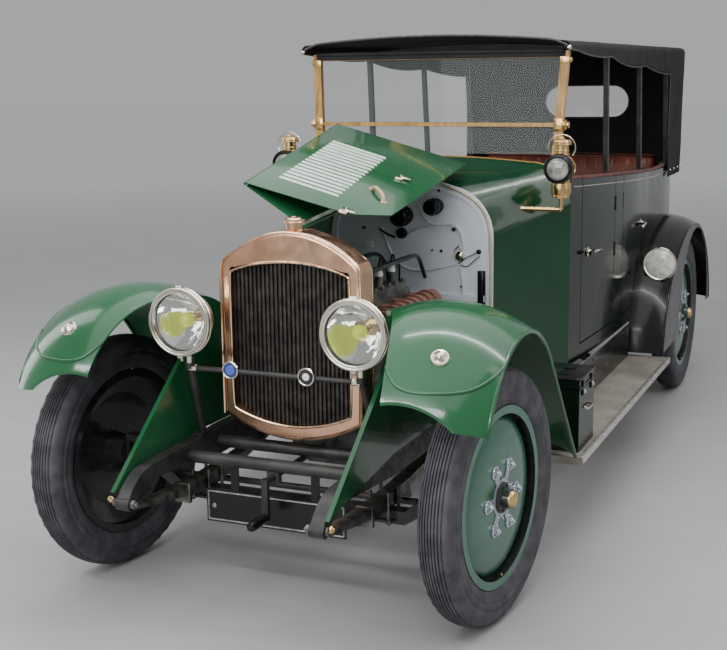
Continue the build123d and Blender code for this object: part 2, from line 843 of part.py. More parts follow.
# Bonnet, left half: folded open. Its top turns over the hinge and its side lies across, outer face up.
fold = radians(fold_angle)
fold_direction = Vector(cos(fold), 0, sin(fold))
hinge_line = Vector(0, bonnet_length, hinge_rear_height - hinge_front_height)
fold_hinge_front = Vector(0, back(bonnet_front), hinge_front_height + 4)
fold_hinge_rear = fold_hinge_front + hinge_line
edge_front = fold_hinge_front + fold_direction * top_panel_front_width
edge_rear = fold_hinge_rear + fold_direction * top_panel_rear_width
top_plane = Plane(
    origin=fold_hinge_front, x_dir=hinge_line, z_dir=hinge_line.cross(fold_direction)
)


def flat_points(plane, corners):
    """Corner points as local x and y of a plane that they lie on."""
    return [(plane.to_local_coords(corner).X, plane.to_local_coords(corner).Y) for corner in corners]


with BuildPart() as bonnet_left_top:
    with BuildSketch(top_plane):
        Polygon(
            *flat_points(top_plane, [
                fold_hinge_front + fold_direction * 10, fold_hinge_rear + fold_direction * 10,
                edge_rear - fold_direction * 4, edge_front - fold_direction * 4,
            ]),
            align=None,
        )
    extrude(amount=bonnet_sheet, both=False)
bonnet_left_top.part.label = "bonnet_left_top"
export_step(bonnet_left_top.part, "parts/bonnet_left_top.step")

fall = radians(side_panel_angle)
fall_direction = Vector(cos(fall), 0.12, sin(fall)).normalized()
edge_line = edge_rear - edge_front
side_normal = fall_direction.cross(edge_line).normalized()
if side_normal.Z < 0:
    side_normal = side_normal * -1
side_origin = edge_front + side_normal * (hinge_rod_radius + 2)
side_plane = Plane(origin=side_origin, x_dir=edge_line, z_dir=side_normal)
across = side_plane.to_local_coords(side_origin + fall_direction * 100)
across_sign = 1 if across.Y > 0 else -1
side_length = edge_line.length

with BuildPart() as bonnet_left_side:
    with BuildSketch(side_plane):
        Polygon(
            (0, 0),
            (side_length, 0),
            (side_length + 20, across_sign * side_panel_rear_drop),
            (side_panel_corner + 40, across_sign * (side_panel_front_drop + 20)),
            (30, across_sign * (side_panel_front_drop - 90)),
            align=None,
        )
    extrude(amount=bonnet_sheet)
    with BuildSketch(side_plane.offset(bonnet_sheet - 1)):
        for number in range(louvre_count):
            with Locations((louvre_first + number * louvre_pitch,
                            across_sign * (louvre_start + louvre_length / 2))):
                Rectangle(louvre_width, louvre_length)
    extrude(amount=louvre_height, taper=30)
    # Hinge rod along the edge that joins the two panels
    with BuildSketch(Plane(origin=side_origin, x_dir=side_normal, z_dir=edge_line)):
        Circle(hinge_rod_radius)
    extrude(amount=side_length)
bonnet_left_side.part.label = "bonnet_left_side"
export_step(bonnet_left_side.part, "parts/bonnet_left_side.step")


# Engine: crankcase, sump, block, bright caps on the head, and the gearbox behind
engine_front = 300
engine_back = 850
block_half = 110
crankcase_half = 150
crankcase_low = 400
crankcase_top = 620
block_top = 930
sump_half = 110
sump_low = 342
head_half = 98
plug_radius = 15
plug_height = 52
arm_low = 480
arm_high = 510
gearbox_back = 1110
tail_half = 76
gearbox_height = 480
gearbox_tall = 160
tail_height = 440
tail_tall = 130
port_pitch = 125
rail_inner = rail_x - rail_width / 2

with BuildPart() as engine:
    crankcase_length = engine_back - engine_front
    crankcase_middle = back((engine_front + engine_back) / 2)
    with Locations((0, crankcase_middle, (crankcase_low + crankcase_top) / 2)):
        Box(2 * crankcase_half, crankcase_length, crankcase_top - crankcase_low)
    with Locations((0, crankcase_middle, (sump_low + crankcase_low) / 2)):
        Box(2 * sump_half, crankcase_length - 90, crankcase_low - sump_low)
    with Locations((0, crankcase_middle, (crankcase_top + block_top) / 2)):
        Box(2 * block_half, crankcase_length - 40, block_top - crankcase_top)
    with Locations((0, crankcase_middle, block_top + 12)):
        Box(2 * head_half, crankcase_length - 60, 24)
    with BuildSketch(Plane.XY.offset(block_top + 20)):
        with Locations((60, crankcase_middle), (-60, crankcase_middle)):
            with GridLocations(1, port_pitch, 1, 4):
                Circle(plug_radius)
    extrude(amount=plug_height)
    # Arms to both rails
    for distance in (engine_front + 80, engine_back - 37):
        with Locations((0, back(distance), (arm_low + arm_high) / 2)):
            Box(2 * (rail_inner - fit_gap), 26, arm_high - arm_low)
    # Gearbox and its tail, which holds the front of the torque tube
    with Locations((0, back((engine_back + gearbox_back) / 2), gearbox_height)):
        Box(2 * block_half, gearbox_back - engine_back, gearbox_tall)
    with Locations((0, back((gearbox_back + torque_tube_start - fit_gap) / 2), tail_height)):
        Box(2 * tail_half, torque_tube_start - fit_gap - gearbox_back, tail_tall)
    # Nose of the crankshaft behind the starting handle
    with BuildSketch(cross_plane(engine_front - 60)):
        with Locations((0, handle_shaft_height)):
            Circle(30)
    extrude(amount=60)
engine.part.label = "engine"
export_step(engine.part, "parts/engine.step")


# Exhaust: ribbed manifold on the car's left, down pipe and silencer under the floor
manifold_x = 188
manifold_height = 880
manifold_radius = 42
manifold_rib = 50
manifold_front = 350
down_pipe_back = 868
pipe_radius = 26
pipe_height = 396
silencer_radius = 62
silencer_front = 1500
silencer_back = 2200
pipe_end = 3080

with BuildPart() as exhaust:
    with BuildSketch(cross_plane(manifold_front)):
        with Locations((-manifold_x, manifold_height)):
            Circle(manifold_radius)
    extrude(amount=down_pipe_back - manifold_front)
    for number in range(8):
        with BuildSketch(cross_plane(manifold_front + 20 + 60 * number)):
            with Locations((-manifold_x, manifold_height)):
                Circle(manifold_rib)
        extrude(amount=16)
    for number in range(4):
        port_back = manifold_front + 70 + port_pitch * number
        with Locations(((block_half + fit_gap + manifold_x) / 2, back(port_back), manifold_height)):
            Box(manifold_x - block_half - fit_gap, 56, 60)
    with BuildSketch(Plane.XY.offset(pipe_height)):
        with Locations((manifold_x, back(down_pipe_back))):
            Circle(pipe_radius)
    extrude(amount=manifold_height - pipe_height)
    with BuildSketch(cross_plane(down_pipe_back - pipe_radius)):
        with Locations((-manifold_x, pipe_height)):
            Circle(pipe_radius)
    extrude(amount=pipe_end - down_pipe_back)
    with BuildSketch(cross_plane(silencer_front)):
        with Locations((-manifold_x, pipe_height - 14)):
            Circle(silencer_radius)
    extrude(amount=silencer_back - silencer_front)
exhaust.part.label = "exhaust"
export_step(exhaust.part, "parts/exhaust.step")


# Sections of the bulkhead and scuttle
# columns: half width, side top, corner x and height, shoulder half, shoulder height, top
bulkhead_section = (bulkhead_half, bulkhead_side_top, *bulkhead_corner, bulkhead_shoulder_half,
                    bulkhead_shoulder_top, bulkhead_top)
scuttle_section = (scuttle_half, scuttle_side_top, *scuttle_corner, scuttle_shoulder_half,
                   scuttle_shoulder_top, scuttle_top)


def arch_sketch(distance, section, inset, low):
    """Closed arch across the car, drawn inside a section by the inset and down to the low edge."""
    half, side_top, corner_x, corner_z, shoulder_half, shoulder_z, top = section
    corner = (corner_x - 0.7 * inset, corner_z - 0.7 * inset)
    shoulder = (shoulder_half - 0.2 * inset, shoulder_z - inset)
    with BuildSketch(cross_plane(distance)) as arch:
        with BuildLine():
            Line((half - inset, low), (half - inset, side_top))
            ThreePointArc((half - inset, side_top), corner, shoulder)
            ThreePointArc(shoulder, (0, top - inset), (-shoulder[0], shoulder[1]))
            ThreePointArc((-shoulder[0], shoulder[1]), (-corner[0], corner[1]), (inset - half, side_top))
            Line((inset - half, side_top), (inset - half, low))
            Line((inset - half, low), (half - inset, low))
        make_face()
    return arch.sketch


# Bulkhead: a plate behind the engine with a pressed ridge and a hole for the steering column
bulkhead_low = body_bottom + fit_gap

ledge_low = bulkhead_side_top - 60
ridge_height = 850
# columns: X and height of a drum, its radius and its reach forwards
drum_table = [(-20, 1178, 34, 70), (120, 1220, 27, 80)]
ledge_depth = 6
ledge_front = bulkhead_front - ledge_depth
bulkhead_plate = arch_sketch(bulkhead_front, bulkhead_section, 0, bulkhead_low)
bulkhead_ledge = (
    arch_sketch(ledge_front, bulkhead_section, 16, ledge_low)
    - arch_sketch(ledge_front, bulkhead_section, 34, ledge_low)
)
backwards = Vector(0, 1, 0)
bulkhead_slab = extrude(bulkhead_plate, amount=bulkhead_wall, dir=backwards)
ledge_slab = extrude(bulkhead_ledge, amount=ledge_depth, dir=backwards)

with BuildPart() as bulkhead:
    add(bulkhead_slab)
    add(ledge_slab)
    # Ridge across the plate, and two drums fixed to it
    with Locations((0, back(bulkhead_front - 5), ridge_height)):
        Box(2 * bulkhead_half - 60, 12, 26)
    for drum_x, drum_z, drum_radius, drum_reach in drum_table:
        with BuildSketch(cross_plane(bulkhead_front - drum_reach)):
            with Locations((-drum_x, drum_z)):
                Circle(drum_radius)
        extrude(amount=drum_reach)
    with BuildSketch(column_plane):
        Circle(column_radius + fit_gap)
    extrude(amount=column_length, mode=Mode.SUBTRACT)
bulkhead.part.label = "bulkhead"
export_step(bulkhead.part, "parts/bulkhead.step")


# Scuttle: the body between the bulkhead and the screen, hollow, with the toe board as its floor
scuttle_front = bulkhead_front + bulkhead_wall + fit_gap
scuttle_outer = loft(
    [arch_sketch(scuttle_front, bulkhead_section, 0, body_bottom),
     arch_sketch(scuttle_rear, scuttle_section, 0, body_bottom)],
    ruled=True,
)
scuttle_inner = loft(
    [arch_sketch(scuttle_front, bulkhead_section, scuttle_wall, body_bottom + scuttle_wall),
     arch_sketch(scuttle_rear, scuttle_section, scuttle_wall, body_bottom + scuttle_wall)],
    ruled=True,
)

with BuildPart() as scuttle:
    add(scuttle_outer)
    add(scuttle_inner, mode=Mode.SUBTRACT)
scuttle.part.label = "scuttle"
export_step(scuttle.part, "parts/scuttle.step")


# Dashboard and the varnished rail round the rear edge of the scuttle
dash_wall = 12
dash_low = 1092
scuttle_rail_depth = 24
scuttle_rail_low = 1318

dash_face = arch_sketch(scuttle_rear - dash_wall, scuttle_section, scuttle_wall + 13, dash_low)
rail_face = (
    arch_sketch(scuttle_rear + fit_gap, scuttle_section, -3, dash_low)
    - arch_sketch(scuttle_rear + fit_gap, scuttle_section, scuttle_wall + 18, dash_low)
)
dash_board = extrude(dash_face, amount=dash_wall + fit_gap, dir=backwards)
dash_rail = extrude(rail_face, amount=scuttle_rail_depth, dir=backwards)

with BuildPart() as dashboard:
    add(dash_board)
    add(dash_rail)
    with Locations((0, back(scuttle_rear + fit_gap + 60), scuttle_rail_low - 200)):
        Box(2 * body_half, 120, 400, mode=Mode.SUBTRACT)
dashboard.part.label = "dashboard"
export_step(dashboard.part, "parts/dashboard.step")


# Body tub: walls bent to the plan of the car, with the door openings cut through
tub_front = scuttle_rear + fit_gap


def body_plan(inset, front):
    """Plan of the tub, drawn inside its outer face by the inset, from a front distance."""
    side_points = [
        (body_front_half - inset, back(front)),
        (body_half - inset, back(body_widest_start)),
        (body_half - inset, back(body_widest_end)),
        (body_taper_half - inset, back(body_taper_back)),
        (body_rear_half - inset, back(body_quarter_back)),
        (body_tail_half - inset, back(body_rear - body_corner_radius)),
    ]
    corner_start = side_points[-1]
    corner_middle = (corner_start[0] - 46, back(body_rear - 52) - inset)
    corner_end = (corner_start[0] - body_corner_radius, back(body_rear) - inset)
    with BuildSketch(Plane.XY) as plan:
        with BuildLine():
            for flip in (1, -1):
                Spline(*[(flip * x, y) for x, y in side_points])
                ThreePointArc(*[(flip * x, y) for x, y in (corner_start, corner_middle, corner_end)])
            Line(corner_end, (-corner_end[0], corner_end[1]))
            Line(side_points[0], (-side_points[0][0], side_points[0][1]))
        make_face()
    return plan.sketch


# columns: name, side, first edge, last edge, edge that the hinge is on, low rear corner cut or not
door_table = [
    ("front_left", 1, front_door_start, front_door_end, "rear", False),
    ("front_right", -1, front_door_start, front_door_end, "rear", False),
    ("rear_left", 1, rear_door_start, rear_door_end, "front", True),
    ("rear_right", -1, rear_door_start, rear_door_end, "front", True),
]
door_low = 600
# Low rear corner of the rear doors, cut round the wing
# columns: distance before the door's end, height above its foot, and the grow's share along each
door_corner_table = [(350, 0, 0.4, 1), (230, 140, 0.7, 0.7), (110, 250, 0.6, 0.8), (0, 305, 1, 1)]
cutter_depth = 300
tub_tall = rail_front_height + 100
handle_height = 984

rail_cut = extrude(
    Plane(origin=(-800, 0, 0), x_dir=(0, 1, 0), z_dir=(1, 0, 0)) * Polygon(
        (back(1300), rail_front_height), (back(scuttle_rear), rail_front_height),
        (back(rail_slope_end), rail_back_height), (back(body_rear + 100), rail_back_height - 16),
        (back(body_rear + 100), tub_tall + 10), (back(1300), tub_tall + 10), align=None,
    ),
    amount=1600,
)


def door_opening(side, first, last, cut_corner, grow):
    """Block through one side of the tub where a door is, made larger all round by the grow."""
    if cut_corner:
        corner = [
            (last - before + along * grow, door_low + above - down * grow)
            for before, above, along, down in door_corner_table
        ]
    else:
        corner = [(last + grow, door_low - grow)]
    outline = [(first - grow, door_low - grow), *corner, (last + grow, tub_tall), (first - grow, tub_tall)]
    start = body_half + 92 - cutter_depth if side > 0 else -body_half - 92
    return extrude(
        Plane(origin=(start, 0, 0), x_dir=(0, 1, 0), z_dir=(1, 0, 0)) * Polygon(
            *[(back(distance), height) for distance, height in outline], align=None
        ),
        amount=cutter_depth,
    )


upwards = Vector(0, 0, 1)
tub_outer = extrude(body_plan(0, tub_front), amount=tub_tall - body_bottom, dir=upwards)
tub_inner = extrude(body_plan(body_wall, tub_front - 1), amount=tub_tall - body_bottom, dir=upwards)
tub_outer = Pos(0, 0, body_bottom) * tub_outer
tub_walls = tub_outer - Pos(0, 0, body_bottom) * tub_inner - rail_cut

wide_openings = [
    door_opening(side, first, last, cut_corner, door_gap)
    for name, side, first, last, hinge_edge, cut_corner in door_table
]

with BuildPart() as body_tub:
    add(tub_walls)
    for opening in wide_openings:
        add(opening, mode=Mode.SUBTRACT)
body_tub.part.label = "body_tub"
export_step(body_tub.part, "parts/body_tub.step")

handle_reach = 26
handle_length = 96
handle_from_edge = 82
for name, side, first, last, hinge_edge, cut_corner in door_table:
    door_slab = tub_walls & door_opening(side, first, last, cut_corner, 0)
    handle_back = first + handle_from_edge if hinge_edge == "rear" else last - handle_from_edge
    with BuildPart() as door:
        add(door_slab)
        with Locations((side * (body_half - 12 + handle_reach / 2), back(handle_back), handle_height)):
            Box(handle_reach + 12, 16, 16)
        with Locations((side * (body_half + handle_reach - 14), back(handle_back), handle_height)):
            Box(12, handle_length, 16)
    door.part.label = f"door_{name}"
    export_step(door.part, f"parts/door_{name}.step")


# Floor: one board that steps up over the rear axle, with the front seat's riser and the rear seat's box
floor_inset = body_wall + fit_gap
front_seat_front = 1850
front_seat_back = 2300
rear_seat_front = 3150
rear_seat_back = 3620
riser_top = 740
rear_riser_top = 780
floor_top = body_bottom + floor_thickness
rear_floor_low = body_bottom + rear_floor_rise
rear_floor_top = rear_floor_low + floor_thickness
floor_block = Pos(0, 0, body_bottom) * extrude(
    body_plan(floor_inset, tub_front), amount=rear_riser_top - body_bottom, dir=upwards
)

with BuildPart() as floor:
    add(floor_block)
    # columns: first and last distance, low and high edge of the block taken away
    for first, last, low, high in (
        (scuttle_rear - 20, front_seat_front, floor_top, 900),
        (front_seat_back, rear_floor_start, floor_top, 900),
        (front_seat_front + floor_thickness, front_seat_back - floor_thickness, floor_top,
         riser_top - floor_thickness),
        (front_seat_front - 1, front_seat_back + 1, riser_top, 900),
        (rear_floor_start - 1, rear_seat_front, rear_floor_top, 900),
        (rear_seat_back, body_rear, rear_floor_top, 900),
        (rear_floor_start + floor_thickness, body_rear, body_bottom - 10, rear_floor_low),
        (rear_seat_front + floor_thickness, rear_seat_back - floor_thickness, rear_floor_top,
         rear_riser_top - floor_thickness),
    ):
        with Locations((0, back((first + last) / 2), (low + high) / 2)):
            Box(2 * body_half, last - first, high - low, mode=Mode.SUBTRACT)
floor.part.label = "floor"
export_step(floor.part, "parts/floor.step")


# Seats: a cushion and a squab each
# columns: file, half width, then first, last, low and high edge of the cushion and of the squab, and its lean
seat_table = [
    ("front_seat", 556, front_seat_front - 10, front_seat_back - 6, riser_top + fit_gap, 900,
     front_seat_back, front_seat_back + 112, 560, 1258, 60),
    ("rear_seat", 520, rear_seat_front - 10, rear_seat_back - 6, rear_riser_top + fit_gap, 930,
     rear_seat_back, rear_seat_back + 130, 710, 1280, 70),
]
for name, half, first, last, low, high, squab_first, squab_last, squab_low, squab_high, lean in seat_table:
    with BuildPart() as seat:
        with Locations((0, back((first + last) / 2), (low + high) / 2)):
            Box(2 * half, last - first, high - low)
        fillet(seat.edges().filter_by(Axis.X).group_by(Axis.Z)[-1], 40)
        with BuildSketch(side_sketch_plane(-half)):
            Polygon(
                (back(squab_first), squab_low), (back(squab_last), squab_low),
                (back(squab_last + lean), squab_high - 30), (back(squab_last + lean - 30), squab_high),
                (back(squab_first + lean + 30), squab_high), (back(squab_first + lean), squab_high - 40),
                align=None,
            )
        extrude(amount=2 * half)
    seat.part.label = name
    export_step(seat.part, f"parts/{name}.step")


# Windscreen: leaning wooden posts, a top rail and a brass bar between two panes
screen_height = post_top_height - post_foot_height
screen_lean = degrees(atan2(post_lean, screen_height))
screen_plane = Plane(
    origin=(0, back(screen_back), post_foot_height), x_dir=(1, 0, 0),
    z_dir=(0, -cos(radians(screen_lean)), sin(radians(screen_lean))),
)
screen_spread = 27
screen_top_rail = 26
bar_up = screen_bar_height - post_foot_height

with BuildPart() as windscreen_frame:
    for side in (1, -1):
        with BuildSketch(screen_plane):
            Polygon(
                (side * (screen_half - post_width / 2), 0),
                (side * (screen_half + post_width / 2), 0),
                (side * (screen_half + screen_spread + post_width / 2), screen_height),
                (side * (screen_half + screen_spread - post_width / 2), screen_height),
                align=None,
            )
        extrude(amount=post_depth / 2, both=True)
    with BuildSketch(screen_plane):
        with Locations((0, screen_height - screen_top_rail / 2)):
            Rectangle(2 * (screen_half + screen_spread), screen_top_rail)
        with Locations((0, bar_up)):
            Rectangle(2 * screen_half, 2 * screen_bar_radius)
    extrude(amount=post_depth / 2 - 4, both=True)
windscreen_frame.part.label = "windscreen_frame"
export_step(windscreen_frame.part, "parts/windscreen_frame.step")

pane_low = scuttle_top + 12 - post_foot_height
tail_height_share = (hood_crown - rear_window_middle) / (hood_crown - hood_tail_height)
tail_line_back = hood_rear - hood_tail_rake * tail_height_share

with BuildPart() as window_panes:
    # columns: lower and upper edge above the posts' feet
    for low, high in ((pane_low, bar_up - screen_bar_radius - 1), (bar_up + screen_bar_radius + 1,
                                                                   screen_height - screen_top_rail - 1)):
        low_half = screen_half - post_width / 2 - 2 + screen_spread * low / screen_height
        high_half = screen_half - post_width / 2 - 2 + screen_spread * high / screen_height
        with BuildSketch(screen_plane):
            Polygon((-low_half, low), (low_half, low), (high_half, high), (-high_half, high), align=None)
        extrude(amount=pane_thickness / 2, both=True)
    # The hood's rear window
    tail_angle = atan2(hood_tail_rake, hood_crown - hood_tail_height)
    tail_plane = Plane(
        origin=(0, back(tail_line_back - hood_wall / 2), rear_window_middle), x_dir=(-1, 0, 0),
        z_dir=(0, cos(tail_angle), -sin(tail_angle)),
    )
    with BuildSketch(tail_plane):
        SlotOverall(2 * rear_window_half - 2, rear_window_height - 2)
    extrude(amount=1.5, both=True)
window_panes.part.label = "window_panes"
export_step(window_panes.part, "parts/window_panes.step")


# Hood: one closed canvas shell with scalloped sides, open to the front and below
def hood_shell(inset):
    """Solid bounded by the hood's canvas, drawn inside its outer face by the inset."""
    with BuildSketch(cross_plane(hood_front)) as across_hood:
        with BuildLine():
            half = hood_half - inset
            Line((half, hood_tail_height - 1), (half, hood_front_top - 26 - inset))
            ThreePointArc((half, hood_front_top - 26 - inset), (half - 9, hood_front_top - 6 - inset),
                          (half - 30, hood_front_top + 3 - inset))
            ThreePointArc((half - 30, hood_front_top + 3 - inset), (0, hood_crown - inset),
                          (30 - half, hood_front_top + 3 - inset))
            ThreePointArc((30 - half, hood_front_top + 3 - inset), (9 - half, hood_front_top - 6 - inset),
                          (-half, hood_front_top - 26 - inset))
            Line((-half, hood_front_top - 26 - inset), (-half, hood_tail_height - 1))
            Line((-half, hood_tail_height - 1), (half, hood_tail_height - 1))
        make_face()
    with BuildSketch(side_sketch_plane(-hood_half - 10)) as along_hood:
        Polygon(
            (back(hood_front - 1), hood_tail_height - 1),
            (back(hood_rear - hood_tail_rake - inset), hood_tail_height - 1),
            (back(hood_rear - inset), hood_crown + 10), (back(hood_front - 1), hood_crown + 10),
            align=None,
        )
    # Plan with both rear corners cut in three flats, wider than the hood everywhere else
    corner = hood_corner_radius - inset
    side_x = hood_half - inset
    rear_y = back(hood_rear - inset)
    corner_points = [
        (side_x + 20, rear_y - corner), (side_x, rear_y - corner),
        (side_x - 0.13 * corner, rear_y - 0.5 * corner), (side_x - 0.5 * corner, rear_y - 0.13 * corner),
        (side_x - corner, rear_y), (side_x - corner, rear_y + 20),
    ]
    with BuildSketch(Plane.XY.offset(hood_tail_height - 2)) as over_hood:
        Polygon(
            (side_x + 20, back(0)), *corner_points, *[(-x, y) for x, y in reversed(corner_points)],
            (-side_x - 20, back(0)), align=None,
        )
    prism = extrude(across_hood.sketch, amount=hood_rear - hood_front, dir=backwards)
    side_prism = extrude(along_hood.sketch, amount=2 * hood_half + 20, dir=Vector(1, 0, 0))
    top_prism = extrude(over_hood.sketch, amount=900, dir=upwards)
    return prism & side_prism & top_prism


# Both shells start at the same front and lower edges, so the hood is open there
hood_outer = hood_shell(0)
hood_inner = hood_shell(hood_wall)

# Scalloped lower edge of the side valance: each arc's start, middle and end as distance and height
valance_front_height = 1836
valance_arcs = [
    ((1530, 1825), (1880, 1806), (2120, 1809)),
    ((2120, 1809), (2470, 1768), (2890, 1770)),
    ((2890, 1770), (3300, 1731), (hood_quarter_start, 1722)),
]
opening_front = hood_front - 5
opening_low = hood_tail_height - 60

with BuildSketch(side_sketch_plane(-hood_half - 20)) as below_valance:
    with BuildLine():
        Polyline((back(valance_arcs[0][0][0]), valance_arcs[0][0][1]),
                 (back(opening_front), valance_front_height), (back(opening_front), opening_low),
                 (back(hood_quarter_start), opening_low),
                 (back(hood_quarter_start), valance_arcs[-1][2][1]))
        for arc_points in valance_arcs:
            ThreePointArc(*[(back(distance), height) for distance, height in arc_points])
    make_face()
side_opening = extrude(below_valance.sketch, amount=2 * hood_half + 40, dir=Vector(1, 0, 0))

with BuildPart() as hood_canvas:
    add(hood_outer)
    add(hood_inner, mode=Mode.SUBTRACT)
    add(side_opening, mode=Mode.SUBTRACT)
    with BuildSketch(tail_plane.offset(-60)):
        SlotOverall(2 * rear_window_half, rear_window_height)
    extrude(amount=120, mode=Mode.SUBTRACT)
hood_canvas.part.label = "hood_canvas"
export_step(hood_canvas.part, "parts/hood_canvas.step")


# Hood sticks: three wooden hoops that stand on brackets on the body rail
# columns: distance at the top, distance at the foot, middle of its bracket
stick_table = [(2085, 2130, 590), (2825, 2900, 588), (3560, 3650, 566)]
stick_half = hood_half - hood_wall - 4
stick_top = hood_front_top - hood_wall - 12

with BuildPart() as hood_sticks:
    for top_back, foot_back, bracket_x in stick_table:
        foot_height = rail_front_height + (rail_back_height - rail_front_height) * min(
            1, (foot_back - scuttle_rear) / (rail_slope_end - scuttle_rear)) + fit_gap
        lean_angle = atan2(foot_back - top_back, stick_top - foot_height)
        stick_plane = Plane(
            origin=(0, back(foot_back), foot_height), x_dir=(-1, 0, 0),
            z_dir=(0, cos(lean_angle), sin(lean_angle)),
        )
        rise = (stick_top - foot_height) / cos(lean_angle)
        with BuildSketch(stick_plane):
            with BuildLine():
                Polyline((stick_half, 2), (stick_half, rise - 40), (stick_half - 40, rise))
                ThreePointArc((stick_half - 40, rise), (0, rise + 26), (40 - stick_half, rise))
                Polyline((40 - stick_half, rise), (-stick_half, rise - 40), (-stick_half, 2),
                         (stick_width - stick_half, 2), (stick_width - stick_half, rise - 50),
                         (50 - stick_half, rise - stick_width))
                ThreePointArc((50 - stick_half, rise - stick_width), (0, rise + 26 - stick_width),
                              (stick_half - 50, rise - stick_width))
                Polyline((stick_half - 50, rise - stick_width), (stick_half - stick_width, rise - 50),
                         (stick_half - stick_width, 2), (stick_half, 2))
            make_face()
        extrude(amount=stick_depth / 2, both=True)
        for side in (1, -1):
            with Locations((side * bracket_x, back(foot_back), foot_height + 10)):
                Box(40, 60, 14)
hood_sticks.part.label = "hood_sticks"
export_step(hood_sticks.part, "parts/hood_sticks.step")


# Front wings: a domed strip swept over the wheel, with an inner valance down to the frame
wing_arc_centre = (back(wing_arc_back), wing_arc_height)
wing_tail_angle = 40
wing_crown_x = 590
valance_inner = 366
shield_top = 630
shield_back = 1120
wing_plan_front = -440


def arc_point(radius, angle):
    """Y and Z of a point on a circle round the centre of the front wing's arc."""
    across = radius * cos(radians(angle))
    return (wing_arc_centre[0] + across, wing_arc_centre[1] + radius * sin(radians(angle)))


wing_tail = Vector(0, back(wing_tail_back), wing_tail_height)


def outward_plane(angle):
    """Section plane at an angle of the wing's arc: local x is X and local y points away from the wheel."""
    outward = Vector(0, cos(radians(angle)), sin(radians(angle)))
    return Plane(
        origin=(0, *arc_point(wing_arc_radius, angle)), x_dir=(1, 0, 0), z_dir=Vector(1, 0, 0).cross(outward)
    )


def domed_section(plane, inner, rise, crown_x, crown, outer, bead):
    """Thin domed band across the left wing, with a rolled bead on its outer edge."""
    with BuildSketch(plane) as section:
        with BuildLine():
            ThreePointArc((inner, rise), (crown_x, crown), (outer, 0))
            Line((outer, 0), (outer - wing_sheet, -1))
            ThreePointArc((outer - wing_sheet, -1), (crown_x, crown - wing_sheet), (inner, rise - wing_sheet))
            Line((inner, rise - wing_sheet), (inner, rise))
        make_face()
        with Locations((outer - bead, 0)):
            Circle(bead)
    return section.sketch


wing_sizes = (wing_inner, wing_inner_rise, wing_crown_x, wing_crown, wing_outer, wing_bead_radius)
wing_tail_plane = outward_plane(wing_tail_angle)
wing_tail_run = wing_tail - wing_tail_plane.origin
wing_dome = revolve(
    domed_section(outward_plane(wing_front_angle), *wing_sizes), axis=Axis((0, *wing_arc_centre), (1, 0, 0)),
    revolution_arc=wing_tail_angle - wing_front_angle,
)
wing_tail_strip = extrude(
    domed_section(wing_tail_plane, *wing_sizes), amount=wing_tail_run.length, dir=wing_tail_run.normalized()
)
wing_skin = wing_dome + wing_tail_strip

# The wing's inner edge seen from the side, as the top of its valance
edge_radius = wing_arc_radius + wing_inner_rise
valance_start = arc_point(edge_radius, 91)
valance_middle = arc_point(edge_radius, 65)
valance_end = arc_point(edge_radius, wing_tail_angle)
tail_fall = valance_end[1] - shield_top
tail_slope = sin(radians(wing_tail_angle)) / cos(radians(wing_tail_angle))
valance_foot = (valance_end[0] + tail_fall * tail_slope, shield_top)

with BuildSketch(side_sketch_plane(0)) as valance_outline:
    with BuildLine():
        Polyline((back(-530), 462), (back(-100), 800), (back(-40), 862), valance_start)
        ThreePointArc(valance_start, valance_middle, valance_end)
        Polyline(valance_end, valance_foot, (back(shield_back), shield_top),
                 (back(shield_back), rail_top + 1), (back(-20), rail_top + 1),
                 (back(-380), rail_top - 40), (back(-530), 462))
    make_face()
valance_thickness = wing_inner + wing_sheet - valance_inner
valance_plate = extrude(valance_outline.sketch, amount=valance_thickness, dir=Vector(1, 0, 0))

# Plan of what is trimmed off the wing's front: its inner corner is cut and its outer corner is round
with BuildSketch(Plane.XY) as wing_plan:
    with BuildLine():
        Polyline((300, back(-600)), (300, back(-38)), (378, back(-38)))
        ThreePointArc((378, back(-38)), (446, back(-190)), (508, back(wing_plan_front)))
        Line((508, back(wing_plan_front)), (740, back(wing_plan_front)))
        ThreePointArc((740, back(wing_plan_front)), (802, back(-412)), (840, back(-350)))
        Polyline((840, back(-350)), (900, back(-350)), (900, back(-600)), (300, back(-600)))
    make_face()
wing_trim = extrude(wing_plan.sketch, amount=1200, dir=upwards)
left_wing = (wing_skin - wing_trim) + Pos(valance_inner, 0, 0) * valance_plate

with BuildPart() as front_wings:
    add(left_wing)
    add(left_wing.mirror(Plane.YZ))
front_wings.part.label = "front_wings"
export_step(front_wings.part, "parts/front_wings.step")


# Rear wings: domed strips round the tub, with side skirts cut out round the wheels
rear_path_points = [(2462, 376), (2620, 680), (2950, 870), (3400, 915), (3780, 720), (3930, 420)]
rear_wing_deep = 552
skirt_sheet = 6
wheel_arch_radius = 475

with BuildLine(Plane.YZ) as rear_path:
    Spline(*[(back(distance), height) for distance, height in rear_path_points])

rear_start_plane = Plane(
    origin=(0, back(rear_path_points[0][0]), rear_path_points[0][1]), x_dir=(1, 0, 0),
    z_dir=(rear_path.line.edges()[0] % 0) * -1,
)
rear_skin = sweep(
    domed_section(
        rear_start_plane, rear_wing_deep, 34, 690, rear_wing_crown, rear_wing_outer, wing_bead_radius
    ),
    path=rear_path.line,
)

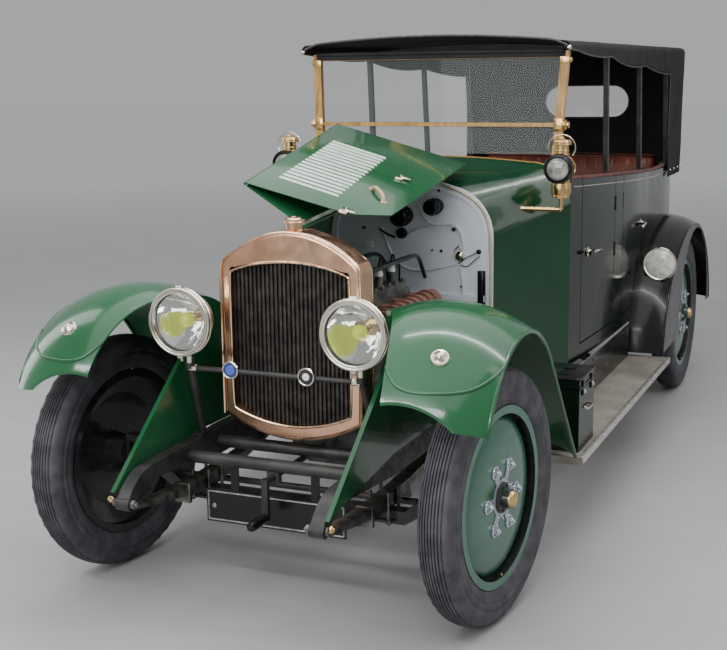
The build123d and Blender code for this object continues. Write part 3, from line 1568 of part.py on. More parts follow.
with BuildSketch(side_sketch_plane(rear_wing_outer - wing_bead_radius - skirt_sheet / 2)) as skirt_outline:
    with BuildLine():
        Spline(*[(back(distance), height) for distance, height in rear_path_points])
        Line(*[(back(distance), height) for distance, height in (rear_path_points[-1], rear_path_points[0])])
    make_face()
    with Locations((rear_axle_y, tyre_radius)):
        Circle(wheel_arch_radius, mode=Mode.SUBTRACT)
skirt_plate = extrude(skirt_outline.sketch, amount=skirt_sheet, dir=Vector(1, 0, 0))
tub_block = extrude(body_plan(-fit_gap, tub_front), amount=900, dir=upwards)
tub_clearance = Pos(0, 0, body_bottom - 200) * tub_block
left_rear_wing = (rear_skin + skirt_plate) - tub_clearance
left_rear_wing = left_rear_wing.solids().sort_by(SortBy.VOLUME)[-1]

with BuildPart() as rear_wings:
    add(left_rear_wing)
    add(left_rear_wing.mirror(Plane.YZ))
rear_wings.part.label = "rear_wings"
export_step(rear_wings.part, "parts/rear_wings.step")


# Running boards with an apron up to the sill, and the toolbox on the left one
board_start = 664
apron_start = 732
apron_end = 2405
apron_wall = 6
apron_top = body_bottom - 2

with BuildPart() as running_boards:
    for side in (1, -1):
        with Locations((side * (board_inner + board_outer) / 2, back((board_start + board_rear) / 2),
                        board_top - board_thickness / 2)):
            Box(board_outer - board_inner, board_rear - board_start, board_thickness)
        with Locations((side * (board_inner + apron_wall / 2), back((apron_start + apron_end) / 2),
                        (board_top + apron_top) / 2 - 1)):
            Box(apron_wall, apron_end - apron_start, apron_top - board_top + 2)
running_boards.part.label = "running_boards"
export_step(running_boards.part, "parts/running_boards.step")

box_inner = 660
box_outer = 815
box_front = 724
box_back = 956
box_top = 636

with BuildPart() as toolbox:
    box_middle = ((box_inner + box_outer) / 2, back((box_front + box_back) / 2))
    with Locations((*box_middle, (board_top + box_top) / 2)):
        Box(box_outer - box_inner, box_back - box_front, box_top - board_top - 2 * fit_gap)
    with Locations((*box_middle, box_top - 30)):
        Box(box_outer - box_inner + 8, box_back - box_front + 8, 8)
    with BuildSketch(Plane.XY.offset(box_top - 4)):
        with Locations((box_middle[0], box_middle[1] - 50), (box_middle[0], box_middle[1] + 50)):
            Circle(24)
    extrude(amount=16)
toolbox.part.label = "toolbox"
export_step(toolbox.part, "parts/toolbox.step")


# Headlamps: hollow bowls with a rolled rim, a glass in each and a stem to its post
# Columns of the profile: radius and distance behind the rim's front edge
bowl_profile = [
    (lamp_rim_radius, 0), (lamp_rim_radius, 16), (lamp_rim_radius - 9, 20), (100, 45), (84, 86),
    (54, 118), (22, lamp_bowl_depth), (0, lamp_bowl_depth), (0, lamp_bowl_depth - lamp_wall),
    (19, 129), (50, 112), (78, 83), (94, 44), (97, 18), (97, 0),
]
lamp_stem_radius = 13
lamp_stem_back = lamp_back + 64
stem_low = lamp_height - 148
stem_drop = 93
lamp_glass_radius = 96

with BuildPart() as headlamps:
    for side in (1, -1):
        lamp_centre = (side * lamp_x, back(lamp_back), lamp_height)
        lamp_plane = Plane(origin=lamp_centre, x_dir=(0, 0, 1), z_dir=(side, 0, 0))
        with BuildSketch(lamp_plane):
            Polygon(*[(radius, -side * depth) for radius, depth in bowl_profile], align=None)
        revolve(axis=Axis(lamp_centre, (0, 1, 0)))
        with BuildSketch(Plane.XY.offset(stem_low)):
            with Locations((side * lamp_x, back(lamp_stem_back))):
                Circle(lamp_stem_radius)
        extrude(amount=lamp_height - stem_drop - stem_low)
headlamps.part.label = "headlamps"
export_step(headlamps.part, "parts/headlamps.step")

with BuildPart() as lamp_glasses:
    for side in (1, -1):
        with BuildSketch(cross_plane(lamp_back + 6)):
            with Locations((-side * lamp_x, lamp_height)):
                Circle(lamp_glass_radius)
        extrude(amount=4)
lamp_glasses.part.label = "lamp_glasses"
export_step(lamp_glasses.part, "parts/lamp_glasses.step")


# Lamp posts: from the frame rails up to the lamp stems, with a tie bar and two plain discs
post_foot_back = -30
post_radius = 13
tie_radius = 9
tie_height = stem_low - 18
disc_radius = 22

with BuildPart() as lamp_posts:
    for side in (1, -1):
        foot = Vector(side * (rail_x - 6), back(post_foot_back), rail_top + 1)
        head = Vector(side * lamp_x, back(lamp_stem_back), stem_low - 1)
        with BuildSketch(Plane(origin=foot + Vector(0, 0, 6), x_dir=(1, 0, 0), z_dir=head - foot)):
            Circle(post_radius)
        extrude(amount=(head - foot).length - 12)
        with Locations((head.X, head.Y, stem_low - fit_gap - 10)):
            Cylinder(lamp_stem_radius + 3, 20)
        with Locations((foot.X, foot.Y, rail_top + fit_gap + 5)):
            Box(36, 70, 10)
    with BuildSketch(side_sketch_plane(-lamp_x)):
        with Locations((back(lamp_stem_back), tie_height)):
            Circle(tie_radius)
    extrude(amount=2 * lamp_x)
    for disc_x in (-154, 125):
        with BuildSketch(cross_plane(lamp_stem_back - 14)):
            with Locations((-disc_x, tie_height + 6)):
                Circle(disc_radius)
        extrude(amount=10)
lamp_posts.part.label = "lamp_posts"
export_step(lamp_posts.part, "parts/lamp_posts.step")


# Oil lamps beside the scuttle, each on a bracket
oil_drum_radius = 50
oil_drum_front = 1190
oil_drum_depth = 84
bracket_height = 1206
bracket_inner = 380
stalk_top = 1270
chimney_radius = 27

with BuildPart() as oil_lamps:
    for side in (1, -1):
        with BuildSketch(cross_plane(oil_drum_front)):
            with Locations((-side * side_lamp_x, side_lamp_height)):
                Circle(oil_drum_radius + 5)
        extrude(amount=12)
        with BuildSketch(cross_plane(oil_drum_front + 6)):
            with Locations((-side * side_lamp_x, side_lamp_height)):
                Circle(oil_drum_radius - 4)
        extrude(amount=oil_drum_depth - 6)
        with Locations((side * side_lamp_x, back(oil_drum_front + 48), side_lamp_height + 62)):
            Cylinder(chimney_radius, 60)
        with Locations((side * side_lamp_x, back(oil_drum_front + 48), side_lamp_height + 98)):
            Cylinder(chimney_radius + 10, 12)
        with Locations((side * side_lamp_x, back(oil_drum_front + 48), side_lamp_height - 78)):
            Cylinder(chimney_radius + 6, 80)
        with Locations((side * side_lamp_x, back(oil_drum_front + 48), (bracket_height + stalk_top) / 2)):
            Cylinder(9, stalk_top - bracket_height)
        with BuildSketch(side_sketch_plane(side * bracket_inner)):
            with Locations((back(oil_drum_front + 48), bracket_height)):
                Circle(9)
        extrude(amount=side * (side_lamp_x - bracket_inner))
    add(scuttle_outer, mode=Mode.SUBTRACT)
oil_lamps.part.label = "oil_lamps"
export_step(oil_lamps.part, "parts/oil_lamps.step")


# Number plates: blank plates, the front one hung from the front cross tube
plate_half = 260
plate_low = 255
plate_high = 370
plate_front = -140
strap_x = 150
plate_hole_spacing = 460
plate_hole_radius = 4
strap_top = rail_top - rail_depth / 2 - cross_tube_radius - fit_gap
rear_plate_low = 590

with BuildPart() as number_plates:
    with Locations((0, back(plate_front), (plate_low + plate_high) / 2)):
        Box(2 * plate_half, 4, plate_high - plate_low)
    for side in (1, -1):
        with Locations((side * strap_x, back(plate_front + 2), (plate_low + 20 + strap_top) / 2)):
            Box(30, 5, strap_top - plate_low - 20)
    with Locations((0, back(body_rear + fit_gap + 3), rear_plate_low + (plate_high - plate_low) / 2)):
        Box(2 * plate_half, 6, plate_high - plate_low)
    # Two screw holes in each plate
    for distance, low in ((plate_front - 10, plate_low), (body_rear - 10, rear_plate_low)):
        with BuildSketch(cross_plane(distance)):
            with Locations((0, low + (plate_high - plate_low) / 2)):
                with GridLocations(plate_hole_spacing, 1, 2, 1):
                    Circle(plate_hole_radius)
        extrude(amount=30, mode=Mode.SUBTRACT)
number_plates.part.label = "number_plates"
export_step(number_plates.part, "parts/number_plates.step")


# Starting handle: a shaft through its hanger, a cranked arm and a grip
handle_shaft_front = -205
handle_shaft_back = 234
crank_low = 320
grip_reach = 105

with BuildPart() as starting_handle:
    with BuildSketch(cross_plane(handle_shaft_front)):
        with Locations((0, handle_shaft_height)):
            Circle(handle_shaft_radius)
    extrude(amount=handle_shaft_back - handle_shaft_front)
    with Locations((0, back(handle_shaft_front), (handle_shaft_height + crank_low) / 2)):
        Box(22, 18, handle_shaft_height - crank_low + 22)
    with BuildSketch(cross_plane(handle_shaft_front - grip_reach)):
        with Locations((0, crank_low)):
            Circle(handle_shaft_radius)
    extrude(amount=grip_reach)
starting_handle.part.label = "starting_handle"
export_step(starting_handle.part, "parts/starting_handle.step")
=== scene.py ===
from math import atan2, cos, exp, pi, radians, sin, sqrt

import bmesh
import bpy
from mathutils import Matrix, Vector, noise


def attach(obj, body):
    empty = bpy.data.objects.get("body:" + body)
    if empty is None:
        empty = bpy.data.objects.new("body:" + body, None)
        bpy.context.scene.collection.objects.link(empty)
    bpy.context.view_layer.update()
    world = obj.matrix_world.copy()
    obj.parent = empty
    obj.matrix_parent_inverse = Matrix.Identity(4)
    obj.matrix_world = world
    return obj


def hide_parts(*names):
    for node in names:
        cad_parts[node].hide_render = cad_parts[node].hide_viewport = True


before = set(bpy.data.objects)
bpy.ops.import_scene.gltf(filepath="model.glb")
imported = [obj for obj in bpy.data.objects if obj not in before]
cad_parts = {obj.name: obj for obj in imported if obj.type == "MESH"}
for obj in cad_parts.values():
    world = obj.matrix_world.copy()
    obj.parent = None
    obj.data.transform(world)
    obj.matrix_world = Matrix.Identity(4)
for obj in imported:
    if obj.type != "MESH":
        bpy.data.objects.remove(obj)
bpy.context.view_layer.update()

# The camera stands in front of the car's left corner. Places are in metres in the frame of the car.
image_width = 727
focal_pixels = 1281.36
front_axle_y = -1.8175
camera_place = Vector((1.8947, front_axle_y - 3.7678, 1.7545))
camera_yaw = 0.4072
camera_pitch = 0.1948
camera_roll = -0.0127


def back(distance):
    """Y of a point this far behind the front axle."""
    return front_axle_y + distance


def add_object(name, data):
    """New object with this data, in the scene."""
    made = bpy.data.objects.new(name, data)
    bpy.context.scene.collection.objects.link(made)
    return made


def make_camera():
    lens = bpy.data.cameras.new("photo_camera")
    lens.sensor_fit = "HORIZONTAL"
    lens.sensor_width = 36
    lens.lens = 36 * focal_pixels / image_width
    lens.clip_end = 100
    camera = add_object("photo_camera", lens)
    forward = Vector((
        -sin(camera_yaw) * cos(camera_pitch), cos(camera_yaw) * cos(camera_pitch), -sin(camera_pitch)
    ))
    right = Vector((cos(camera_yaw), sin(camera_yaw), 0))
    up = right.cross(forward)
    rolled_right = cos(camera_roll) * right + sin(camera_roll) * up
    rolled_up = -sin(camera_roll) * right + cos(camera_roll) * up
    turn = Matrix((rolled_right, rolled_up, -forward)).transposed()
    camera.matrix_world = Matrix.Translation(camera_place) @ turn.to_4x4()
    bpy.context.scene.camera = camera


make_camera()


# Lights: a wide soft ceiling with two thin strips, a strip at each side and a soft fill from the front
def area_light(name, place, target, size, power, colour=(1, 1, 1)):
    data = bpy.data.lights.new(name, "AREA")
    data.shape = "RECTANGLE"
    data.size, data.size_y = size
    data.energy = power
    data.color = colour
    lamp = add_object(name, data)
    lamp.location = place
    lamp.rotation_euler = (Vector(target) - Vector(place)).to_track_quat("-Z", "Y").to_euler()


area_light("ceiling_softbox", (0, -1.4, 4.8), (0, -1.4, 0), (6, 8.5), 220)
area_light("long_strip", (1.7, -0.6, 4.2), (0.9, -0.6, 0.9), (0.18, 7), 85)
area_light("cross_strip", (-0.6, -4.8, 3.7), (0, -1.6, 0.9), (5, 0.25), 80)
area_light("left_strip", (4.6, -1.5, 3.4), (0, -0.6, 0.6), (0.8, 5), 34, (1, 0.97, 0.92))
area_light("front_fill", (-0.5, -7.5, 2.6), (0, -1, 0.7), (4, 2.5), 150)
area_light("right_strip", (-4.5, -1.0, 2.6), (0, -0.6, 0.6), (1.2, 5), 60)

world = bpy.data.worlds.new("pale_room")
world.use_nodes = True
world.node_tree.nodes["Background"].inputs["Color"].default_value = (0.86, 0.87, 0.88, 1)
world.node_tree.nodes["Background"].inputs["Strength"].default_value = 0.52
bpy.context.scene.world = world


# Materials: each starts as one shader and gets its own colour, wear and bump from object coordinates
class Finish:
    """A material under construction, with short calls for the nodes that every finish here uses."""

    def __init__(self, name, colour, roughness, metallic=0.0, coat=0.0):
        self.material = bpy.data.materials.new(name)
        self.material.use_nodes = True
        self.tree = self.material.node_tree
        self.shader = self.tree.nodes["Principled BSDF"]
        self.set("Base Color", (*colour, 1))
        self.set("Roughness", roughness)
        self.set("Metallic", metallic)
        self.set("Coat Weight", coat)
        self.set("Coat Roughness", 0.04)
        self.place = self.tree.nodes.new("ShaderNodeTexCoord").outputs["Object"]

    def set(self, socket, value):
        self.shader.inputs[socket].default_value = value

    def link(self, output, target):
        self.tree.links.new(output, target)

    def noise(self, scale, detail=4, stretch=(1, 1, 1)):
        """Noise value at a scale, stretched along the axes."""
        mapping = self.tree.nodes.new("ShaderNodeMapping")
        mapping.inputs["Scale"].default_value = stretch
        texture = self.tree.nodes.new("ShaderNodeTexNoise")
        texture.inputs["Scale"].default_value = scale
        texture.inputs["Detail"].default_value = detail
        self.link(self.place, mapping.inputs["Vector"])
        self.link(mapping.outputs["Vector"], texture.inputs["Vector"])
        return texture.outputs["Fac"]

    def ramp(self, value, low, high, first, second):
        """Colour that runs from the first to the second while the value runs from low to high."""
        node = self.tree.nodes.new("ShaderNodeValToRGB")
        node.color_ramp.elements[0].position = low
        node.color_ramp.elements[1].position = high
        node.color_ramp.elements[0].color = (*first, 1)
        node.color_ramp.elements[1].color = (*second, 1)
        self.link(value, node.inputs["Fac"])
        return node.outputs["Color"]

    def spread(self, value, low, high, first, second):
        """Number that runs from the first to the second while the value runs from low to high."""
        node = self.tree.nodes.new("ShaderNodeMapRange")
        for socket, number in zip(("From Min", "From Max", "To Min", "To Max"), (low, high, first, second)):
            node.inputs[socket].default_value = number
        self.link(value, node.inputs["Value"])
        return node.outputs["Result"]

    def colour_from(self, value, low, high, first, second):
        self.link(self.ramp(value, low, high, first, second), self.shader.inputs["Base Color"])

    def roughness_from(self, value, low, high, first, second):
        self.link(self.spread(value, low, high, first, second), self.shader.inputs["Roughness"])

    def distance(self):
        """Distance of the point from the object's origin."""
        node = self.tree.nodes.new("ShaderNodeVectorMath")
        node.operation = "LENGTH"
        self.link(self.place, node.inputs[0])
        return node.outputs["Value"]

    def across(self, vector):
        """The part of a vector that runs across the car."""
        node = self.tree.nodes.new("ShaderNodeSeparateXYZ")
        self.link(vector, node.inputs["Vector"])
        return node.outputs["X"]

    def maths(self, operation, *values):
        """Result of one maths node on these values."""
        node = self.tree.nodes.new("ShaderNodeMath")
        node.operation = operation
        for value, socket in zip(values, node.inputs):
            self.link(value, socket)
        return node.outputs["Value"]

    def blend(self, value, first, second):
        """Colour between two colour outputs, the first where the value is 0 and the second where it is 1."""
        node = self.tree.nodes.new("ShaderNodeMix")
        node.data_type = "RGBA"
        first_colour, second_colour = node.inputs[6], node.inputs[7]
        self.link(value, node.inputs["Factor"])
        self.link(first, first_colour)
        self.link(second, second_colour)
        return node.outputs[2]

    def bump(self, value, depth, strength=1.0):
        node = self.tree.nodes.new("ShaderNodeBump")
        node.inputs["Distance"].default_value = depth
        node.inputs["Strength"].default_value = strength
        self.link(value, node.inputs["Height"])
        self.link(node.outputs["Normal"], self.shader.inputs["Normal"])


def make_finish(name, colour, roughness, metallic=0.0, coat=0.0, specular=None, tints=None,
                tint_range=(0.3, 0.75), tint_detail=4, gloss=None, gloss_start=0.3, grain=None,
                grain_detail=4, stretch=(1, 1, 1), sockets=()):
    """One finish.

    Tints are a noise scale and two colours, gloss is a noise scale and two roughnesses, and grain is a
    noise scale with the depth and the strength of its bump. Sockets are further names and values.
    """
    finish = Finish(name, colour, roughness, metallic, coat)
    if specular is not None:
        finish.set("Specular IOR Level", specular)
    for socket, value in sockets:
        finish.set(socket, value)
    if tints:
        scale, first, second = tints
        finish.colour_from(finish.noise(scale, tint_detail, stretch), *tint_range, first, second)
    if gloss:
        scale, first, second = gloss
        finish.roughness_from(finish.noise(scale), gloss_start, 0.8, first, second)
    if grain:
        scale, depth, strength = grain
        finish.bump(finish.noise(scale, grain_detail, stretch), depth, strength)
    return finish.material


def enamel(name, colour, other):
    return make_finish(name, colour, 0.14, coat=0.8, tints=(60, colour, other))


# How far out from the car's middle the wheels' discs turn from black painted shade to green
shade_reach_inner = 0.680
shade_reach_outer = 0.685


def wheel_green():
    """Green on what looks outwards at each wheel's disc, and black inside: painted shade for the shade on the
    wheels' inner faces.
    """
    finish = Finish("wheel_green", (0.012, 0.10, 0.05), 0.28, coat=0.5)
    paint = finish.ramp(finish.noise(8), 0.3, 0.75, (0.012, 0.098, 0.058), (0.019, 0.126, 0.08))
    # The black inside is painted shade, standing in for the shade on the inner faces and drums
    inside = finish.ramp(finish.noise(12), 0.3, 0.75, (0.008, 0.009, 0.009), (0.022, 0.024, 0.023))
    across = finish.across(finish.place)
    facing = finish.across(finish.tree.nodes.new("ShaderNodeTexCoord").outputs["Normal"])
    looks_out = finish.spread(finish.maths("MULTIPLY", across, facing), 0.05, 0.25, 0, 1)
    lies_out = finish.spread(finish.maths("ABSOLUTE", across), shade_reach_inner, shade_reach_outer, 0, 1)
    out_of_shade = finish.maths("MULTIPLY", looks_out, lies_out)
    finish.link(finish.blend(out_of_shade, inside, paint), finish.shader.inputs["Base Color"])
    finish.roughness_from(finish.noise(20), 0.3, 0.8, 0.22, 0.4)
    return finish.material


green = make_finish(
    "coach_green", (0.012, 0.10, 0.036), 0.24, coat=0.35, specular=0.4,
    tints=(3, (0.010, 0.088, 0.03), (0.015, 0.112, 0.042)), tint_range=(0.35, 0.7), gloss=(11, 0.14, 0.26)
)
dark_green = make_finish(
    "body_green", (0.003, 0.008, 0.005), 0.16, coat=0.05, specular=0.22,
    tints=(2, (0.002, 0.006, 0.004), (0.003, 0.010, 0.006)), tint_range=(0.3, 0.7), gloss=(9, 0.1, 0.22)
)
# The scuttle's green is the wings' green made darker: painted shade, for the shade on its side
cowl_green_painted_shade = make_finish(
    "scuttle_green_painted_shade", (0.004, 0.04, 0.017), 0.2, coat=0.35, specular=0.35,
    tints=(3, (0.003, 0.032, 0.013), (0.006, 0.05, 0.022)), tint_range=(0.35, 0.7), gloss=(11, 0.14, 0.26)
)
gloss_black = make_finish(
    "black_gloss", (0.006, 0.006, 0.007), 0.2, coat=0.1, specular=0.3,
    gloss=(14, 0.16, 0.3)
)
black = make_finish(
    "chassis_black", (0.02, 0.02, 0.021), 0.42,
    tints=(12, (0.014, 0.014, 0.015), (0.05, 0.047, 0.043)), tint_range=(0.4, 0.8), gloss=(30, 0.32, 0.6),
    grain=(140, 0.0004, 0.4)
)
steel = make_finish(
    "worn_steel", (0.2, 0.19, 0.18), 0.42, metallic=0.8,
    tints=(26, (0.07, 0.065, 0.06), (0.26, 0.25, 0.23)), tint_range=(0.35, 0.7), grain=(120, 0.0004, 0.5)
)
wheel_paint_and_shade = wheel_green()
rubber = make_finish(
    "tyre_rubber", (0.05, 0.05, 0.06), 0.66, tint_detail=8, tint_range=(0.35, 0.72),
    tints=(18, (0.034, 0.034, 0.043), (0.088, 0.084, 0.098)), grain=(260, 0.0006, 0.5)
)
copper = make_finish(
    "copper_shell", (0.68, 0.38, 0.24), 0.24, metallic=1.0,
    tints=(5, (0.66, 0.36, 0.22), (0.86, 0.56, 0.39)), gloss=(16, 0.16, 0.34), grain=(60, 0.0003, 0.3)
)
strips = make_finish(
    "core_strips", (0.03, 0.027, 0.025), 0.5, metallic=0.4,
    tints=(30, (0.018, 0.016, 0.015), (0.075, 0.065, 0.058)), tint_range=(0.35, 0.75)
)
nickel_plate = make_finish(
    "nickel", (0.74, 0.69, 0.58), 0.16, metallic=1.0, gloss=(24, 0.1, 0.26)
)
brass = make_finish(
    "polished_brass", (0.72, 0.49, 0.2), 0.22, metallic=1.0,
    tints=(18, (0.62, 0.4, 0.15), (0.8, 0.58, 0.28)), gloss=(40, 0.16, 0.34)
)
casting = make_finish(
    "cast_metal", (0.13, 0.14, 0.13), 0.55, metallic=0.6,
    tints=(14, (0.06, 0.065, 0.062), (0.2, 0.21, 0.2)), grain=(160, 0.0006, 0.6)
)
manifold = make_finish(
    "browned_iron", (0.2, 0.09, 0.06), 0.6, metallic=0.3,
    tints=(20, (0.13, 0.055, 0.04), (0.28, 0.14, 0.1)), grain=(130, 0.0007, 0.7)
)
pale_paint = make_finish(
    "bulkhead_paint", (0.76, 0.79, 0.88), 0.4, coat=0.2,
    tints=(5, (0.72, 0.75, 0.85), (0.82, 0.84, 0.92)), gloss=(18, 0.32, 0.5)
)
wood = make_finish(
    "varnished_wood", (0.46, 0.25, 0.07), 0.42, coat=0.15, specular=0.3, stretch=(9, 9, 1.2),
    tints=(9, (0.3, 0.14, 0.035), (0.62, 0.37, 0.11)), tint_range=(0.3, 0.72), tint_detail=6,
    grain=(9, 0.0006, 0.4), grain_detail=6
)
boards = make_finish(
    "floor_boards", (0.12, 0.07, 0.04), 0.7, stretch=(8, 1.5, 8),
    tints=(6, (0.07, 0.04, 0.025), (0.17, 0.1, 0.06)), tint_range=(0.3, 0.72), tint_detail=6
)
leather = make_finish(
    "red_leather", (0.2, 0.05, 0.03), 0.42,
    tints=(7, (0.13, 0.032, 0.02), (0.26, 0.075, 0.045)), grain=(220, 0.0008, 0.6), grain_detail=6
)
cloth = make_finish(
    "hood_cloth", (0.02, 0.02, 0.021), 0.85, specular=0.12, tint_range=(0.2, 0.85),
    tints=(9, (0.024, 0.024, 0.025), (0.046, 0.046, 0.048)), grain=(420, 0.0006, 0.7), grain_detail=3
)
glass = make_finish("clear_glass", (0.3, 0.33, 0.33), 0.03, sockets=(("IOR", 1.5), ("Alpha", 0.12)))
plate_metal = make_finish(
    "tread_plate", (0.34, 0.32, 0.28), 0.55, metallic=0.5,
    tints=(6, (0.22, 0.2, 0.17), (0.42, 0.39, 0.34)), tint_detail=6, grain=(90, 0.0006, 0.5)
)
binding = make_finish(
    "cloth_binding", (0.05, 0.05, 0.052), 0.7,
    tints=(60, (0.035, 0.035, 0.037), (0.1, 0.1, 0.102)), grain=(500, 0.0004, 0.6), grain_detail=2
)
leather_edge = make_finish(
    "leather_piping", (0.1, 0.025, 0.018), 0.5,
    tints=(30, (0.07, 0.018, 0.012), (0.16, 0.045, 0.03))
)
bright_steel = make_finish(
    "bright_nuts", (0.8, 0.82, 0.88), 0.18, metallic=1.0,
    tints=(70, (0.62, 0.65, 0.72), (0.88, 0.9, 0.95)), gloss=(90, 0.12, 0.34)
)
mirror_silver = make_finish(
    "silvered_reflector", (0.9, 0.9, 0.88), 0.05, metallic=1.0,
    gloss=(30, 0.03, 0.14), gloss_start=0.35, grain=(22, 0.004, 0.35), grain_detail=2
)
# The bulb glows faintly: painted light, as no lamp is lit in it
yellow_bulb_painted_glow = make_finish(
    "yellow_bulb", (0.62, 0.72, 0.01), 0.12, coat=0.4,
    tints=(50, (0.42, 0.5, 0.0), (0.62, 0.7, 0.005)),
    sockets=(("Emission Color", (0.6, 0.72, 0.0, 1)), ("Emission Strength", 0.35))
)
# The louvres are painted pale: a painted highlight, for the overhead light that they catch
louvre_painted_highlight = make_finish(
    "louvres_painted_highlight", (0.16, 0.3, 0.2), 0.16, coat=1.0,
    tints=(14, (0.42, 0.52, 0.45), (0.66, 0.74, 0.68)), gloss=(60, 0.12, 0.26)
)
tan_leather = make_finish(
    "tan_strap", (0.5, 0.36, 0.2), 0.55,
    tints=(60, (0.4, 0.27, 0.14), (0.62, 0.47, 0.3)), grain=(240, 0.0004, 0.5)
)
star_paint = make_finish(
    "star_grey", (0.36, 0.37, 0.46), 0.24, metallic=0.55, coat=0.4,
    tints=(45, (0.2, 0.23, 0.28), (0.5, 0.51, 0.62)), gloss=(60, 0.18, 0.4)
)
webbing = make_finish(
    "pale_webbing", (0.46, 0.42, 0.3), 0.75,
    tints=(90, (0.34, 0.31, 0.21), (0.56, 0.52, 0.39)), grain=(420, 0.0006, 0.8), grain_detail=2
)
pale_pipe = make_finish(
    "painted_pipe", (0.66, 0.68, 0.7), 0.34, coat=0.3,
    tints=(40, (0.56, 0.58, 0.61), (0.76, 0.78, 0.8))
)
white_enamel = enamel("white_enamel", (0.82, 0.83, 0.84), (0.9, 0.9, 0.9))
blue_enamel = enamel("blue_enamel", (0.03, 0.06, 0.42), (0.06, 0.12, 0.6))
red_glass = enamel("red_glass", (0.42, 0.01, 0.01), (0.6, 0.02, 0.015))
bright_copper = make_finish(
    "polished_copper", (0.9, 0.62, 0.42), 0.16, metallic=1.0,
    tints=(12, (0.86, 0.56, 0.36), (0.95, 0.74, 0.54)), gloss=(40, 0.1, 0.26)
)
frosted_glass = make_finish(
    "frosted_lens", (0.78, 0.8, 0.74), 0.16, coat=0.8, tint_range=(0.35, 0.7),
    tints=(34, (0.5, 0.53, 0.48), (0.86, 0.88, 0.82)), grain=(120, 0.0008, 0.5)
)
dim_glass = make_finish(
    "smoked_lens", (0.3, 0.31, 0.28), 0.1, coat=0.9, tint_range=(0.35, 0.7),
    tints=(30, (0.14, 0.15, 0.13), (0.5, 0.51, 0.46)), grain=(60, 0.0008, 0.5)
)
bright_edge = make_finish(
    "alloy_edge", (0.72, 0.7, 0.64), 0.3, metallic=0.9,
    tints=(40, (0.55, 0.53, 0.48), (0.82, 0.8, 0.74)), gloss=(70, 0.22, 0.45)
)
worn_alloy = make_finish(
    "weathered_alloy", (0.3, 0.3, 0.29), 0.5, metallic=0.7,
    tints=(50, (0.18, 0.18, 0.17), (0.42, 0.42, 0.4))
)

corners = ("front_left", "front_right", "rear_left", "rear_right")
sides_and_hands = ((1, "left"), (-1, "right"))
node_finish = {
    "chassis_frame": black, "leaf_springs": steel, "front_axle": black, "knuckle_left": black,
    "knuckle_right": black, "track_rod": black, "rear_axle": black, "steering_column": black,
    "steering_wheel": gloss_black, "radiator_shell": copper, "radiator_core": strips, "bonnet_right": green,
    "bonnet_left_top": green, "bonnet_left_side": green, "engine": casting, "exhaust": manifold,
    "bulkhead": pale_paint, "scuttle": cowl_green_painted_shade, "dashboard": wood, "body_tub": dark_green, "floor": boards,
    "front_seat": leather, "rear_seat": leather, "windscreen_frame": wood, "window_panes": glass,
    "hood_canvas": cloth, "hood_sticks": black, "front_wings": green, "rear_wings": gloss_black,
    "running_boards": plate_metal, "toolbox": dark_green, "headlamps": nickel_plate, "lamp_glasses": glass,
    "lamp_posts": black, "oil_lamps": brass, "number_plates": gloss_black, "starting_handle": black,
}
for corner in corners:
    node_finish[f"wheel_{corner}"] = wheel_paint_and_shade
    node_finish[f"tyre_{corner}"] = rubber
    node_finish[f"door_{corner}"] = dark_green

for node, finish in node_finish.items():
    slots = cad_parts[node].data.materials
    slots.clear()
    slots.append(finish)


# Directions in the frame of the car
leftwards = (1, 0, 0)
rearwards = (0, 1, 0)
forwards = (0, -1, 0)
upwards = (0, 0, 1)


# Shaping: parts are built at the origin, set in their place, and finished as one piece of the car
def towards(direction):
    """Turn that takes the Z axis to this direction."""
    return Vector(direction).to_track_quat("Z", "Y").to_matrix().to_4x4()


def add_part(shape, part, place=Matrix()):
    """Add a part built at the origin to a shape, at its place."""
    bmesh.ops.transform(part, matrix=place, verts=part.verts)
    mesh = bpy.data.meshes.new("part")
    part.to_mesh(mesh)
    part.free()
    shape.from_mesh(mesh)
    bpy.data.meshes.remove(mesh)


def turned(shape, profile, origin, axis, steps=32, closed=False):
    """Turn a profile of radii and distances along an axis into a round form."""
    part = bmesh.new()
    points = [part.verts.new((radius, 0, along)) for radius, along in profile]
    edges = [part.edges.new(pair) for pair in zip(points, points[1:])]
    if closed:
        edges.append(part.edges.new((points[-1], points[0])))
    bmesh.ops.spin(
        part, geom=points + edges, cent=(0, 0, 0), axis=(0, 0, 1), angle=2 * pi, steps=steps, use_merge=True
    )
    add_part(shape, part, Matrix.Translation(origin) @ towards(axis))


def rod(shape, start, end, radius, end_radius=None, sides=12):
    """Round bar, or a cone where its end has another radius."""
    start, end = Vector(start), Vector(end)
    part = bmesh.new()
    bmesh.ops.create_cone(
        part, cap_ends=True, segments=sides, radius1=radius,
        radius2=radius if end_radius is None else end_radius, depth=(end - start).length
    )
    add_part(shape, part, Matrix.Translation((start + end) / 2) @ towards(end - start))


def box(size):
    """Box at the origin, a part of its own."""
    part = bmesh.new()
    bmesh.ops.create_cube(part, size=1)
    bmesh.ops.scale(part, vec=size, verts=part.verts)
    return part


def bevel(shape, edges, width, segments=2):
    bmesh.ops.bevel(
        shape, geom=edges, offset=width, segments=segments, profile=0.5, affect="EDGES", material=-1
    )


def block(shape, centre, size, rounding=0.002, turn=Matrix()):
    """Box with rounded edges."""
    part = box(size)
    bevel(part, part.edges[:], rounding)
    add_part(shape, part, Matrix.Translation(centre) @ turn)


